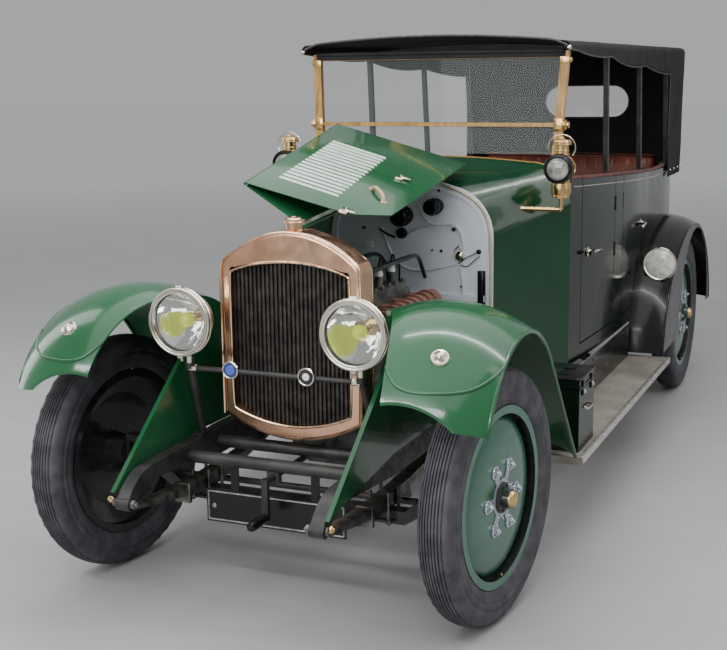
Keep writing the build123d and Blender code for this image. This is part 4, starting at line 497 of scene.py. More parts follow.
def pipe(shape, points, radius, sides=8, closed=False):
    """Pipe, wire or bead along a smooth line near these points."""
    line = bpy.data.curves.new("line", "CURVE")
    line.dimensions = "3D"
    line.bevel_depth = radius
    line.bevel_resolution = (sides - 4) // 2
    line.use_fill_caps = not closed
    line.resolution_u = 6
    spline = line.splines.new("NURBS")
    spline.points.add(len(points) - 1)
    for point, place in zip(spline.points, points):
        point.co = (*place, 1)
    spline.order_u = 3
    spline.use_cyclic_u = closed
    spline.use_endpoint_u = not closed
    holder = bpy.data.objects.new("line", line)
    mesh = bpy.data.meshes.new_from_object(holder)
    shape.from_mesh(mesh)
    bpy.data.objects.remove(holder)
    bpy.data.curves.remove(line)
    bpy.data.meshes.remove(mesh)


def nut(shape, place, axis, radius, height):
    """Hexagon nut with the domed end of its stud."""
    axis = Vector(axis).normalized()
    place = Vector(place)
    rod(shape, place, place + axis * height, radius, radius * 0.94, sides=6)
    turned(
        shape, [(radius * 0.5, height), (radius * 0.5, height * 1.35), (radius * 0.3, height * 1.6),
                (0, height * 1.68)], place, axis, steps=10
    )


def ring(radius, tube, along=0.0, count=8):
    """Closed profile of a round ring, for turned."""
    return [
        (radius + tube * cos(2 * pi * number / count), along + tube * sin(2 * pi * number / count))
        for number in range(count)
    ]


def studs(shape, profile, places, axis, steps=12):
    """The same small turned form at each of these places."""
    for place in places:
        turned(shape, profile, place, axis, steps=steps)


def make_object(name, shape, finish, crease=38):
    """Object of a shape: doubles merged, faces outwards, smooth between creases."""
    bmesh.ops.remove_doubles(shape, verts=shape.verts, dist=0.00005)
    bmesh.ops.recalc_face_normals(shape, faces=shape.faces)
    mesh = bpy.data.meshes.new(name)
    shape.to_mesh(mesh)
    shape.free()
    mesh.shade_smooth()
    mesh.set_sharp_from_angle(angle=radians(crease))
    mesh.materials.append(finish)
    return add_object(name, mesh)


def finish_piece(name, shape, finish, body="car", crease=38, place=None):
    """One finished piece that rides on a body."""
    if place is not None:
        bmesh.ops.transform(shape, matrix=place, verts=shape.verts)
    piece = make_object(name, shape, finish, crease)
    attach(piece, body)
    return piece


def turned_piece(name, finish, profile, origin, axis, steps, body="car", place=None):
    """A piece that is one turned form."""
    shape = bmesh.new()
    turned(shape, profile, origin, axis, steps=steps)
    return finish_piece(name, shape, finish, body, place=place)


# Hood: one sheet over bows, with a scalloped valance, a rear window and rounded corners
hood_front = 1.366
hood_rear = 4.172
hood_half = 0.600
hood_eave = 1.842
eave_radius = 0.029
hood_crown = 1.900
hood_tail = 1.150
hood_rake = 0.055
rear_corner = 0.11
quarter_start = 3.62
valance_row = 1.722
bow_distances = (1.42, 2.085, 2.825, 3.56, 4.10)
# columns: distance and height of each scallop's first point, lowest point and last point
valance_spans = (
    ((1.361, 1.836), (1.45, 1.831), (1.53, 1.825)),
    ((1.53, 1.825), (1.88, 1.806), (2.12, 1.809)),
    ((2.12, 1.809), (2.47, 1.768), (2.89, 1.77)),
    ((2.89, 1.77), (3.30, 1.731), (3.62, 1.722)),
)
window_height = 1.56
window_half_width = 0.262
window_radius = 0.1
cell_across = 0.02
cell_along = 0.035
cell_up = 0.022
quarter_run = 0.44
bow_sag = 0.007
sag_reach = 0.3
fold_depth = 0.004
crease_depth = 0.0018
cloth_thickness = 0.003


def valance_height(distance):
    """Height of the valance's lower edge, a parabola through the three points of each scallop."""
    for first, middle, last in valance_spans:
        if distance <= last[0] + 0.001:
            break
    height = 0
    for point, one, other in ((first, middle, last), (middle, first, last), (last, first, middle)):
        share = (distance - one[0]) * (distance - other[0])
        height += point[1] * share / ((point[0] - one[0]) * (point[0] - other[0]))
    return height


def crown_rise(x):
    return (hood_crown - hood_eave - eave_radius) * max(0, 1 - (x / (hood_half - eave_radius)) ** 2)


def tail_shift(distance, z):
    """How far the hood leans in at the rear, below its crown."""
    share = min(max((distance - quarter_start) / quarter_run, 0), 1)
    return hood_rake * share * (hood_crown - z) / (hood_crown - hood_tail)


def on_window_line(x):
    """Nearest x on the straight line between the centres of the rear window's two ends."""
    reach = window_half_width - window_radius
    return min(max(x, -reach), reach)


def sew_hood():
    top = hood_eave + eave_radius
    shape = box((2 * hood_half, hood_rear - hood_front, top - hood_tail))
    middle = (0, back((hood_front + hood_rear) / 2), (top + hood_tail) / 2)
    bmesh.ops.translate(shape, vec=middle, verts=shape.verts)
    rear_y = back(hood_rear) - 0.001
    uprights = [edge for edge in shape.edges if all(vert.co.y > rear_y for vert in edge.verts)
                and abs(edge.verts[0].co.z - edge.verts[1].co.z) > 0.1]
    bevel(shape, uprights, rear_corner, segments=8)
    open_faces = [face for face in shape.faces if face.normal.z < -0.9 or face.normal.y < -0.9]
    bmesh.ops.delete(shape, geom=open_faces, context="FACES")
    eaves = [edge for edge in shape.edges if all(vert.co.z > top - 0.001 for vert in edge.verts)
             and not edge.is_boundary]
    bevel(shape, eaves, eave_radius, segments=4)
    cuts = [((cell_across * number, 0, 0), leftwards) for number in range(-28, 29)]
    cuts += [((0, back(hood_front + cell_along * number), 0), rearwards) for number in range(1, 79)]
    cuts += [((0, 0, hood_tail + cell_up * number), upwards) for number in range(1, 31)]
    cuts += [((0, back(quarter_start), 0), rearwards), ((0, 0, valance_row), upwards),
             ((0, 0, (valance_row + hood_eave) / 2), upwards)]
    for place, normal in cuts:
        everything = shape.verts[:] + shape.edges[:] + shape.faces[:]
        bmesh.ops.bisect_plane(shape, geom=everything, dist=0.00001, plane_co=place, plane_no=normal)
    quarter_y = back(quarter_start) - 0.001
    unwanted = []
    for face in shape.faces:
        centre = face.calc_center_median()
        reach = Vector((centre.x - on_window_line(centre.x), centre.z - window_height)).length
        in_window = centre.y > rear_y - rear_corner / 2 and reach < window_radius
        if in_window or (centre.y < quarter_y and centre.z < valance_row):
            unwanted.append(face)
    bmesh.ops.delete(shape, geom=unwanted, context="FACES")
    for vert in shape.verts:
        x, y, z = vert.co
        distance = y - front_axle_y
        on_window = vert.is_boundary and y > rear_y - 0.01 and z > hood_tail + 0.1
        if on_window:
            nearest = on_window_line(x)
            outward = Vector((x - nearest, z - window_height)).normalized() * window_radius
            x, z = nearest + outward.x, window_height + outward.y
        if distance < quarter_start and z < hood_eave:
            share = (hood_eave - z) / (hood_eave - valance_row)
            z = hood_eave - share * (hood_eave - valance_height(distance))
        if z > hood_eave:
            between = min(abs(distance - bow) for bow in bow_distances)
            share = (z - hood_eave) / eave_radius
            sag = bow_sag * min(between / sag_reach, 1) * (1 - (x / hood_half) ** 2)
            z += share * (crown_rise(x) - sag)
        fold = noise.noise(Vector((x * 5, distance * 4, z * 3))) * fold_depth
        crease = noise.noise(Vector((x * 16, distance * 13, z * 4))) * crease_depth
        pull = 0 if on_window else fold + crease
        inwards = Vector((-x, -(distance - 3.0) * 0.4, -(z - 1.5))).normalized()
        vert.co = Vector((x, back(distance - tail_shift(distance, z)), z)) + inwards * abs(pull)
    piece = finish_piece("hood_cloth_sheet", shape, cloth, crease=60)
    thickness = piece.modifiers.new("thickness", "SOLIDIFY")
    thickness.thickness = cloth_thickness
    return piece


def bind_hood():
    """Binding sewn round the valance, the tail and the front edge."""
    shape = bmesh.new()
    edge_distances = [hood_front + 0.002 + number * (quarter_start - hood_front) / 60 for number in range(61)]
    for side in (1, -1):
        line = [(side * (hood_half - 0.002), back(distance), valance_height(distance))
                for distance in edge_distances]
        line += [(side * (hood_half - 0.004), back(quarter_start + 0.002), hood_tail + 0.3),
                 (side * (hood_half - 0.004), back(quarter_start + 0.004), hood_tail),
                 (side * (hood_half - 0.004), back(quarter_start + 0.25), hood_tail)]
        pipe(shape, line, 0.0035, sides=6)
    front = []
    for number in range(-12, 13):
        x = number * 0.0485
        drop = 0.02 * max(0, abs(x) - 0.56) / 0.022
        front.append((x, back(hood_front), hood_eave + eave_radius + crown_rise(x) - drop))
    pipe(shape, front, 0.005, sides=6)
    return finish_piece("hood_binding", shape, binding)


def frame_rear_window():
    shape = bmesh.new()
    straight = window_half_width - window_radius
    y = back(hood_rear - tail_shift(hood_rear, window_height))
    line = []
    for number in range(32):
        angle = 2 * pi * number / 32
        x = window_radius * cos(angle) + (straight if cos(angle) > 0 else -straight)
        z = window_height + window_radius * sin(angle)
        line.append((x, y + hood_rake * (z - window_height) / (hood_crown - hood_tail), z))
    pipe(shape, line, 0.006, sides=8, closed=True)
    return finish_piece("rear_window_frame", shape, binding)


hood_sheet = sew_hood()
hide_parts("hood_canvas")
hood_trim = [bind_hood(), frame_rear_window()]


# Seats: pleated leather, swollen by a short cloth simulation, then sewn into channels
seat_voxel = 0.017
swell_steps = 14
swell_limit = 0.014
pleat_pitch = 0.092
pleat_depth = 0.011
seam_width = 0.011
pad_border = 0.045
pad_rounding = 0.028
edge_softness = 0.05


def swell(piece):
    """Blow the pad up a little with cloth pressure, with no point moving past the limit."""
    start = [vert.co.copy() for vert in piece.data.vertices]
    scene = bpy.context.scene
    pad = piece.modifiers.new("pad", "CLOTH")
    pad.settings.use_pressure = True
    pad.settings.uniform_pressure_force = 4
    pad.settings.effector_weights.gravity = 0
    pad.settings.quality = 4
    pad.point_cache.frame_end = swell_steps
    for step in range(1, swell_steps + 1):
        scene.frame_set(step)
    shaped = piece.evaluated_get(bpy.context.evaluated_depsgraph_get())
    for vert, before, after in zip(piece.data.vertices, start, shaped.data.vertices):
        moved = after.co - before
        if moved.length > swell_limit:
            moved = moved.normalized() * swell_limit
        vert.co = before + moved
    piece.modifiers.remove(pad)
    scene.frame_set(1)


def stuff_pad(name, low, high, lean, up_axis):
    """A padded block from its low to its high corner, leaning back, pleated on the face that is sat on."""
    low, high = Vector(low), Vector(high)
    shrink = Vector((0.008, 0.008, 0.008))
    shape = box(high - low - 2 * shrink)
    bevel(shape, shape.edges[:], pad_rounding, segments=3)
    bmesh.ops.translate(shape, vec=(low + high) / 2, verts=shape.verts)
    for vert in shape.verts:
        vert.co.y += lean * (vert.co.z - low.z) / (high.z - low.z)
    block_piece = make_object(name + "_block", shape, leather)
    remesh = block_piece.modifiers.new("even", "REMESH")
    remesh.mode = "VOXEL"
    remesh.voxel_size = seat_voxel
    shaped = block_piece.evaluated_get(bpy.context.evaluated_depsgraph_get())
    mesh = bpy.data.meshes.new_from_object(shaped)
    mesh.name = name
    bpy.data.objects.remove(block_piece)
    piece = add_object(name, mesh)
    swell(piece)
    shape = bmesh.new()
    shape.from_mesh(piece.data)
    bmesh.ops.subdivide_edges(shape, edges=shape.edges[:], cuts=1, use_grid_fill=True, smooth=0.6)
    middle = (low + high) / 2
    for vert in shape.verts:
        across = vert.co.x / pleat_pitch
        from_seam = abs(across - round(across)) * pleat_pitch
        inside = min(vert.co.x - low.x, high.x - vert.co.x) > pad_border
        groove = pleat_depth * exp(-(from_seam / seam_width) ** 2) if inside else 0
        if up_axis == "Z" and vert.co.z > middle.z:
            edge_fade = min((vert.co.y - low.y) / edge_softness, (high.y - vert.co.y) / edge_softness, 1)
            vert.co.z -= groove * max(edge_fade, 0.2)
        lean_here = lean * (vert.co.z - low.z) / (high.z - low.z)
        if up_axis == "-Y" and vert.co.y < middle.y + lean_here:
            edge_fade = min((vert.co.z - low.z) / edge_softness, (high.z - vert.co.z) / edge_softness, 1)
            vert.co.y += groove * max(edge_fade, 0.2)
    shape.to_mesh(piece.data)
    shape.free()
    piece.data.shade_smooth()
    piece.data.materials.clear()
    piece.data.materials.append(leather)
    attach(piece, "car")
    return piece


# columns: seat, half width, lean of its squab, then the cushion's and the squab's box: first and last
# distance, low and high edge
seat_table = (
    ("front_seat", 0.556, 0.06, (1.84, 2.294, 0.7403, 0.90), (2.30, 2.412, 0.74, 1.258)),
    ("rear_seat", 0.52, 0.07, (3.14, 3.614, 0.7803, 0.93), (3.62, 3.75, 0.78, 1.28)),
)
piping_radius = 0.005


def upholster(seat, half, lean, cushion_box, squab_box):
    first, last, low, high = cushion_box
    squab_first, squab_last, squab_low, squab_high = squab_box
    cushion = stuff_pad(seat + "_cushion", (-half, back(first), low), (half, back(last), high), 0, "Z")
    squab = stuff_pad(
        seat + "_squab", (-half, back(squab_first), squab_low), (half, back(squab_last), squab_high),
        lean, "-Y"
    )
    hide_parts(seat)
    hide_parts(seat)
    shape = bmesh.new()
    for side in (1, -1):
        pipe(shape, [(side * (half - 0.02), back(first + 0.03), high - 0.012),
                     (side * (half - 0.012), back((first + last) / 2), high - 0.006),
                     (side * (half - 0.02), back(last - 0.02), high - 0.012)], piping_radius, sides=6)
    squab_face = squab_first + lean
    # columns: distance and height of a seam's ends, distance and height of its middle
    for end_distance, end_height, distance, height in (
        (first + 0.012, high - 0.028, first + 0.008, high - 0.026),
        (squab_face + 0.012, squab_high - 0.014, squab_face + 0.01, squab_high - 0.008),
    ):
        pipe(shape, [(-half + 0.02, back(end_distance), end_height), (-half * 0.3, back(distance), height),
                     (half * 0.3, back(distance), height), (half - 0.02, back(end_distance), end_height)],
             piping_radius, sides=6)
    finish_piece(seat + "_piping", shape, leather_edge)


for row in seat_table:
    upholster(*row)


# Wheels: places in a frame at the hub, with X pointing outwards
wheel_offset = 0.706
tyre_radius = 0.42
kingpin_x = 0.611
steer_rest = radians(-6.8)
rear_axle_y = 1.5625
outwards = (1, 0, 0)
tyre_steps = 144
shoulder_reach = 0.398
shoulder_inner = 0.034
shoulder_outer = 0.0515
notch_every = 3
notch_inner = 0.036
notch_depth = 0.0035
nut_circle = 0.110


def wheel_place(corner):
    side = 1 if corner.endswith("left") else -1
    front = corner.startswith("front")
    place = Matrix.Translation((side * wheel_offset, front_axle_y if front else rear_axle_y, tyre_radius))
    if side < 0:
        place = place @ Matrix.Rotation(pi, 4, "Z")
    if front:
        kingpin = Matrix.Translation((side * kingpin_x, front_axle_y, 0))
        place = kingpin @ Matrix.Rotation(steer_rest, 4, "Z") @ kingpin.inverted() @ place
    return place


def tread_profile():
    """Closed section of the tyre, with ribs across its tread and rings on its walls."""
    half_tread = 0.046
    rib_count = 9
    rib_pitch = 2 * half_tread / rib_count
    tread = []
    for number in range(rib_count):
        first = -half_tread + number * rib_pitch
        for along, sunk in ((first + 0.0008, 0), (first + rib_pitch - 0.0038, 0),
                            (first + rib_pitch - 0.0030, 0.0055), (first + rib_pitch, 0.0055)):
            deep = 0 if number == rib_count - 1 and sunk else sunk
            tread.append((tyre_radius - 0.011 * (along / half_tread) ** 2 - deep, along))
    wall = [(0.4035, 0.0500), (0.394, 0.0545), (0.380, 0.0578), (0.366, 0.0595), (0.3635, 0.0582),
            (0.3605, 0.0582), (0.358, 0.0600), (0.342, 0.0592), (0.3395, 0.0575), (0.3365, 0.0575),
            (0.334, 0.0583), (0.318, 0.0540), (0.306, 0.0490), (0.299, 0.0440), (0.2985, 0.0380)]
    mirrored = [(radius, -along) for radius, along in reversed(wall)]
    return mirrored + tread + wall


def notch_tread(shape):
    """Sink notches into the shoulders of the tread."""
    for face in shape.faces:
        centre = face.calc_center_median()
        on_shoulder = centre.length > shoulder_reach and shoulder_inner < abs(centre.x) < shoulder_outer
        step = int((atan2(centre.y, centre.z) / (2 * pi) + 1) * tyre_steps)
        if on_shoulder and step % notch_every == 0:
            for vert in face.verts:
                vert.tag = True
    for vert in shape.verts:
        if vert.tag and abs(vert.co.x) > notch_inner:
            vert.co -= Vector((0, vert.co.y, vert.co.z)).normalized() * notch_depth


def dress_wheel(corner):
    place = wheel_place(corner)
    body = f"wheel_{corner}"
    middle = (0, 0, 0)
    shape = bmesh.new()
    turned(shape, tread_profile(), middle, outwards, steps=tyre_steps, closed=True)
    notch_tread(shape)
    tyre = finish_piece(f"tyre_ribbed_{corner}", shape, rubber, body, crease=50, place=place)
    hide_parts(f"tyre_{corner}")

    nuts = bmesh.new()
    star = bmesh.new()
    for number in range(6):
        angle = number * pi / 3
        arm = Vector((0, cos(angle), sin(angle)))
        stud = Vector((0.0445, nut_circle * cos(angle), nut_circle * sin(angle)))
        turned(nuts, [(0.0225, 0), (0.0225, 0.003), (0.0185, 0.0055), (0.0155, 0.003)],
               stud, outwards, steps=20)
        nut(nuts, stud + Vector((0.001, 0, 0)), outwards, 0.0135, 0.013)
        turned(star, [(0.0232, -0.0015), (0.0232, 0.0005), (0.0220, 0.0012), (0, 0.0012)],
               arm * nut_circle + Vector((0.0440, 0, 0)), outwards, steps=20)
        block(star, arm * 0.078 + Vector((0.0444, 0, 0)), (0.0018, 0.050, 0.029), 0.0006,
              Matrix.Rotation(angle, 4, "X"))
    turned(star, [(0.0640, 0.0435), (0.0640, 0.0448), (0.0620, 0.0455), (0.0500, 0.0456)],
           middle, outwards, steps=36)
    finish_piece(f"wheel_nuts_{corner}", nuts, bright_steel, body, place=place)
    finish_piece(f"wheel_star_{corner}", star, star_paint, body, place=place)

    shape = bmesh.new()
    turned(shape, [(0.0500, 0.0465), (0.0500, 0.052), (0.0465, 0.054), (0.0345, 0.054), (0.0330, 0.048)],
           middle, outwards, steps=36)
    for number in range(8):
        angle = (number + 0.5) * pi / 4
        nut(shape, (0.0535, 0.041 * cos(angle), 0.041 * sin(angle)), outwards, 0.0042, 0.004)
    finish_piece(f"hub_flange_{corner}", shape, black, body, place=place)

    shape = bmesh.new()
    rod(shape, (0.0545, 0, 0), (0.070, 0, 0), 0.0315, sides=8)
    turned(shape, [(0.0298, 0.070), (0.0302, 0.074), (0.0285, 0.083), (0.024, 0.0905), (0.012, 0.0945),
                   (0, 0.0955)], middle, outwards, steps=32)
    finish_piece(f"hub_cap_{corner}", shape, brass, body, place=place)

    disc = [(0.050, 0.0425), (0.136, 0.0425), (0.172, 0.0400), (0.210, 0.0350), (0.240, 0.0285),
            (0.2535, 0.0225), (0.2580, 0.0160), (0.2575, 0.0060)]
    turned_piece(f"wheel_disc_face_{corner}", wheel_paint_and_shade, disc, middle, outwards, 96, body, place=place)

    shape = bmesh.new()
    rod(shape, (0.030, 0, -0.269), (0.040, 0, -0.2630), 0.0035)
    rod(shape, (0.039, 0, -0.2635), (0.046, 0, -0.2595), 0.0045)
    finish_piece(f"tyre_valve_{corner}", shape, brass, body, place=place)


for corner in corners:
    dress_wheel(corner)


# Headlamps: a bright reflector, a yellow bulb, a rolled rim and a catch in each
lamp_x = 0.314
lamp_front = -0.192
lamp_height = 0.950
reflector_shares = (0.012, 0.03, 0.07, 0.12, 0.2, 0.3, 0.42, 0.56, 0.7, 0.85, 1.0)
# columns: piece, finish, steps, profile of radii and distances behind the lamp's front
lamp_insides = (
    ("reflector", mirror_silver, 64,
     [(0.0950 * sqrt(share), 0.118 - 0.098 * share) for share in reflector_shares]),
    ("bulb_holder", brass, 20,
     [(0.0125, 0.121), (0.0125, 0.096), (0.0155, 0.094), (0.0155, 0.086), (0.011, 0.084), (0, 0.084)]),
    ("bulb", yellow_bulb_painted_glow, 28,
     [(0.010, 0.086), (0.014, 0.080), (0.0215, 0.068), (0.0245, 0.056), (0.0225, 0.044), (0.015, 0.035),
      (0.006, 0.031), (0, 0.0305)]),
)


def furnish_headlamp(side, hand):
    front = Vector((side * lamp_x, back(lamp_front), lamp_height))
    for name, finish, steps, profile in lamp_insides:
        turned_piece(f"{name}_{hand}", finish, profile, front, rearwards, steps)
    shape = bmesh.new()
    turned(shape, ring(0.1105, 0.0062, 0.004, 12), front, rearwards, steps=72, closed=True)
    turned(shape, ring(0.1135, 0.0030, 0.019, 8), front, rearwards, steps=72, closed=True)
    turned(shape, [(0.0985, 0.0045), (0.0975, 0.0005), (0.1010, -0.0012), (0.1060, -0.0005)],
           front, rearwards, steps=72)
    catch = front + Vector((0, 0.012, -0.1165))
    block(shape, catch, (0.020, 0.022, 0.010), 0.002)
    rod(shape, catch + Vector((0, 0.002, -0.004)), catch + Vector((0, 0.002, -0.016)), 0.005, 0.006)
    hinge = front + Vector((0, 0.014, 0.1165))
    rod(shape, hinge + Vector((-0.013, 0, 0)), hinge + Vector((0.013, 0, 0)), 0.0048)
    finish_piece(f"lamp_rim_{hand}", shape, nickel_plate)


for side, hand in sides_and_hands:
    furnish_headlamp(side, hand)


# Bonnet side on the left: folded over the engine, its pressed louvres facing up
fold_angle = radians(148)
fall_angle = radians(-17.5)
fold_front = Vector((0, back(0.102), 1.250))
hinge_line = Vector((0, 1.010, 0.088))
fold_direction = Vector((cos(fold_angle), 0, sin(fold_angle)))
panel_front = fold_front + fold_direction * 0.245
panel_rear = fold_front + hinge_line + fold_direction * 0.372
panel_along = (panel_rear - panel_front).normalized()
panel_length = (panel_rear - panel_front).length
panel_fall = Vector((cos(fall_angle), 0.12, sin(fall_angle))).normalized()
panel_normal = panel_fall.cross(panel_along)
if panel_normal.z < 0:
    panel_normal = -panel_normal
panel_normal = panel_normal.normalized()
panel_across = (panel_fall - panel_fall.dot(panel_along) * panel_along).normalized()
panel_origin = panel_front + panel_normal * 0.008
# Frame of the folded side: X along the hinge, Y down the panel's width, Z out of its face
panel_turn = Matrix((panel_along, panel_across, panel_normal)).transposed().to_4x4()
panel_place = Matrix.Translation(panel_origin) @ panel_turn
panel_thickness = 0.004
louvre_count = 16
louvre_first = 0.162
louvre_pitch = 0.040
louvre_width = 0.0105
louvre_length = 0.228
louvre_height = 0.0056


def press_side_panel():
    shape = bmesh.new()
    outline = [(0, 0), (panel_length, 0), (panel_length + 0.02, 0.56), (0.15, 0.49), (0.03, 0.38)]
    face = shape.faces.new([shape.verts.new((x, y, 0)) for x, y in outline])
    made = bmesh.ops.extrude_face_region(shape, geom=[face])
    risen = [item for item in made["geom"] if isinstance(item, bmesh.types.BMVert)]
    bmesh.ops.translate(shape, vec=(0, 0, panel_thickness), verts=risen)
    bevel(shape, shape.edges[:], 0.0012)
    rod(shape, (0, -0.002, -0.002), (panel_length, -0.002, -0.002), 0.006, sides=12)
    panel = finish_piece("bonnet_side_panel", shape, green, crease=30, place=panel_place)
    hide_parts("bonnet_left_side")


def press_louvres():
    shape = bmesh.new()
    lift = panel_thickness + louvre_height / 2 - 0.0004
    for number in range(louvre_count):
        blade = box((louvre_width, louvre_length, louvre_height))
        for vert in blade.verts:
            if vert.co.z > 0:
                vert.co.y *= 0.945
                if vert.co.x < 0:
                    vert.co.z -= louvre_height * 0.96
        bevel(blade, [edge for edge in blade.edges if edge.calc_length() > 0.05], 0.0006)
        add_part(shape, blade, Matrix.Translation((louvre_first + louvre_pitch * number, 0.1745, lift)))
    finish_piece("bonnet_louvres", shape, louvre_painted_highlight, crease=30, place=panel_place)


def fit_panel_catches():
    shape = bmesh.new()
    for x, y in ((0.03, 0.352), (0.575, 0.401)):
        block(shape, (x, y, panel_thickness + 0.004), (0.050, 0.030, 0.008), 0.002)
        block(shape, (x, y + 0.022, panel_thickness + 0.009), (0.018, 0.040, 0.006), 0.002)
        studs(shape, [(0.0045, 0), (0.004, 0.002), (0, 0.0028)],
              [(x + offset, y, panel_thickness + 0.008) for offset in (-0.018, 0.018)], upwards)
    finish_piece("bonnet_catches", shape, nickel_plate, place=panel_place)

    shape = bmesh.new()
    pipe(shape, [(0.349, 0.358, 0.006), (0.340, 0.364, 0.020), (0.300, 0.394, 0.026),
                 (0.262, 0.423, 0.020), (0.251, 0.429, 0.006)], 0.0075, sides=10)
    studs(shape, [(0.013, 0), (0.013, 0.003), (0.009, 0.006), (0, 0.007)],
          [(x, y, panel_thickness) for x, y in ((0.351, 0.356), (0.249, 0.431))], upwards, steps=16)
    finish_piece("bonnet_handle", shape, tan_leather, place=panel_place)


press_side_panel()
press_louvres()
fit_panel_catches()


# Bulkhead: webbing round its edge, black drums, pipes, wires, a junction and small fittings
bulkhead_face = back(1.108)
fitting_face = back(1.1135)
# columns: x and height of points round half of the bulkhead's edge
bulkhead_arch = (
    (0.351, 0.62), (0.351, 1.02), (0.350, 1.10), (0.330, 1.19), (0.290, 1.243), (0.190, 1.296),
    (0.090, 1.322), (0.0, 1.328)
)
# Lines on the bulkhead, each a row of points with columns x and height
pipe_lines = (
    ((0.038, 1.226), (0.055, 1.187), (0.077, 1.158), (0.108, 1.143), (0.152, 1.145), (0.189, 1.149)),
    ((0.204, 1.142), (0.224, 1.118), (0.230, 1.093), (0.233, 1.060)),
    ((0.001, 1.101), (0.037, 1.123), (0.073, 1.132), (0.108, 1.138)),
    ((0.224, 0.968), (0.231, 0.931), (0.234, 0.893), (0.236, 0.830), (0.238, 0.640)),
)
long_pipe = (
    (-0.125, 1.125), (-0.119, 1.109), (-0.101, 1.068), (-0.085, 1.026), (-0.067, 0.992), (-0.027, 0.962),
    (0.027, 0.949), (0.099, 0.956), (0.165, 0.974), (0.209, 0.984)
)
hose_lines = (
    ((-0.067, 0.986), (-0.095, 0.984), (-0.100, 0.950), (-0.095, 0.906)),
    ((-0.067, 0.986), (-0.072, 0.965), (-0.068, 0.930), (-0.068, 0.898)),
    ((-0.045, 0.975), (-0.040, 0.950), (-0.043, 0.925), (-0.042, 0.900)),
    ((-0.060, 1.085), (-0.105, 1.100), (-0.128, 1.118)),
)
wire_lines = (
    ((0.215, 0.989), (0.235, 1.004), (0.252, 1.017), (0.278, 1.027), (0.296, 1.040)),
    ((0.224, 0.985), (0.240, 0.979), (0.257, 0.978), (0.287, 1.009), (0.308, 1.024)),
    ((0.204, 1.030), (0.200, 1.045), (0.212, 1.058), (0.226, 1.056), (0.228, 1.040)),
    ((0.206, 1.010), (0.196, 1.030), (0.206, 1.052), (0.220, 1.062)),
)
# columns: x, height, radius and reach of each drum
drum_table = ((-0.020, 1.178, 0.0385, 0.078), (0.120, 1.220, 0.0300, 0.088))
# columns: x, height and radius of each bolt head
bolt_table = (
    (0.139, 1.037, 0.006), (0.193, 1.127, 0.0085), (0.227, 0.894, 0.006), (0.300, 1.040, 0.010),
    (0.130, 1.282, 0.006), (-0.200, 1.120, 0.006), (0.100, 1.038, 0.004)
)


def lay_lines(shape, lines, lift, radius, sides=8):
    """Pipes or wires along lines of x and height, lifted off the bulkhead."""
    for line in lines:
        pipe(shape, [(x, bulkhead_face - lift, z) for x, z in line], radius, sides=sides)


def furnish_bulkhead():
    shape = bmesh.new()
    arch = list(bulkhead_arch) + [(-x, z) for x, z in reversed(bulkhead_arch[:-1])]
    lay_lines(shape, [arch], -0.002, 0.0065)
    lay_lines(shape, [arch], -0.013, 0.0060)
    finish_piece("bonnet_webbing", shape, webbing)

    shape = bmesh.new()
    lay_lines(shape, pipe_lines, 0, 0.0055)
    lay_lines(shape, [long_pipe], -0.004, 0.0045)
    finish_piece("bulkhead_pipes", shape, pale_pipe)

    shape = bmesh.new()
    for x, z, radius, reach in drum_table:
        centre = (x, fitting_face, z)
        drum = [(radius, 0), (radius, reach * 0.9), (radius * 0.94, reach), (radius * 0.7, reach + 0.003),
                (radius * 0.66, reach - 0.003), (0, reach - 0.004)]
        turned(shape, drum, centre, forwards, steps=36)
        for share in (0.35, 0.8):
            band = ring(radius + 0.001, 0.0028, reach * share, 6)
            turned(shape, band, centre, forwards, steps=36, closed=True)
        for number in range(6):
            angle = number * pi / 3
            nut(shape, (x + radius * 0.82 * cos(angle), fitting_face - reach, z + radius * 0.82 * sin(angle)),
                forwards, 0.0035, 0.003)
    turned(shape, [(0.022, 0), (0.024, 0.014), (0.018, 0.026), (0, 0.030)], (-0.030, fitting_face, 1.104),
           forwards, steps=20)
    block(shape, (0.310, back(1.106), 0.878), (0.026, 0.012, 0.172), 0.003)
    block(shape, (0.326, bulkhead_face, 0.878), (0.006, 0.008, 0.172), 0.002)
    lay_lines(shape, hose_lines, 0.004, 0.0042)
    for x, z, radius in bolt_table:
        turned(shape, [(radius, 0), (radius, 0.006), (radius * 0.6, 0.010), (0, 0.011)],
               (x, fitting_face, z), forwards, steps=14)
    finish_piece("bulkhead_fittings", shape, gloss_black)

    shape = bmesh.new()
    turned(shape, [(0.020, 0), (0.020, 0.012), (0.014, 0.017), (0, 0.018)], (0.220, fitting_face, 1.020),
           forwards, steps=20)
    lay_lines(shape, wire_lines, 0.008, 0.0026, sides=6)
    finish_piece("bulkhead_wires", shape, nickel_plate)

    shape = bmesh.new()
    block(shape, (-0.183, back(1.110), 1.051), (0.046, 0.004, 0.026), 0.001)
    block(shape, (0.022, back(1.118), 1.345), (0.046, 0.034, 0.020), 0.006)
    finish_piece("bulkhead_blank_plate", shape, white_enamel)


furnish_bulkhead()


# Engine: plugs and leads, head nuts, side covers, water hoses, fan, carburettor and oil filler
plug_distances = (0.3875, 0.5125, 0.6375, 0.7625)
plug_x = 0.06
lead_rail_x = 0.086
cover_distances = (0.395, 0.575, 0.755)
# columns: x, distance, height and radius of each cap
cap_table = (
    (0.128, 0.36, 0.640, 0.020), (0.165, 0.76, 0.756, 0.010), (0.0, 0.352, 0.955, 0.014),
    (-0.165, 0.46, 0.757, 0.012)
)
fan_pitch = radians(28)


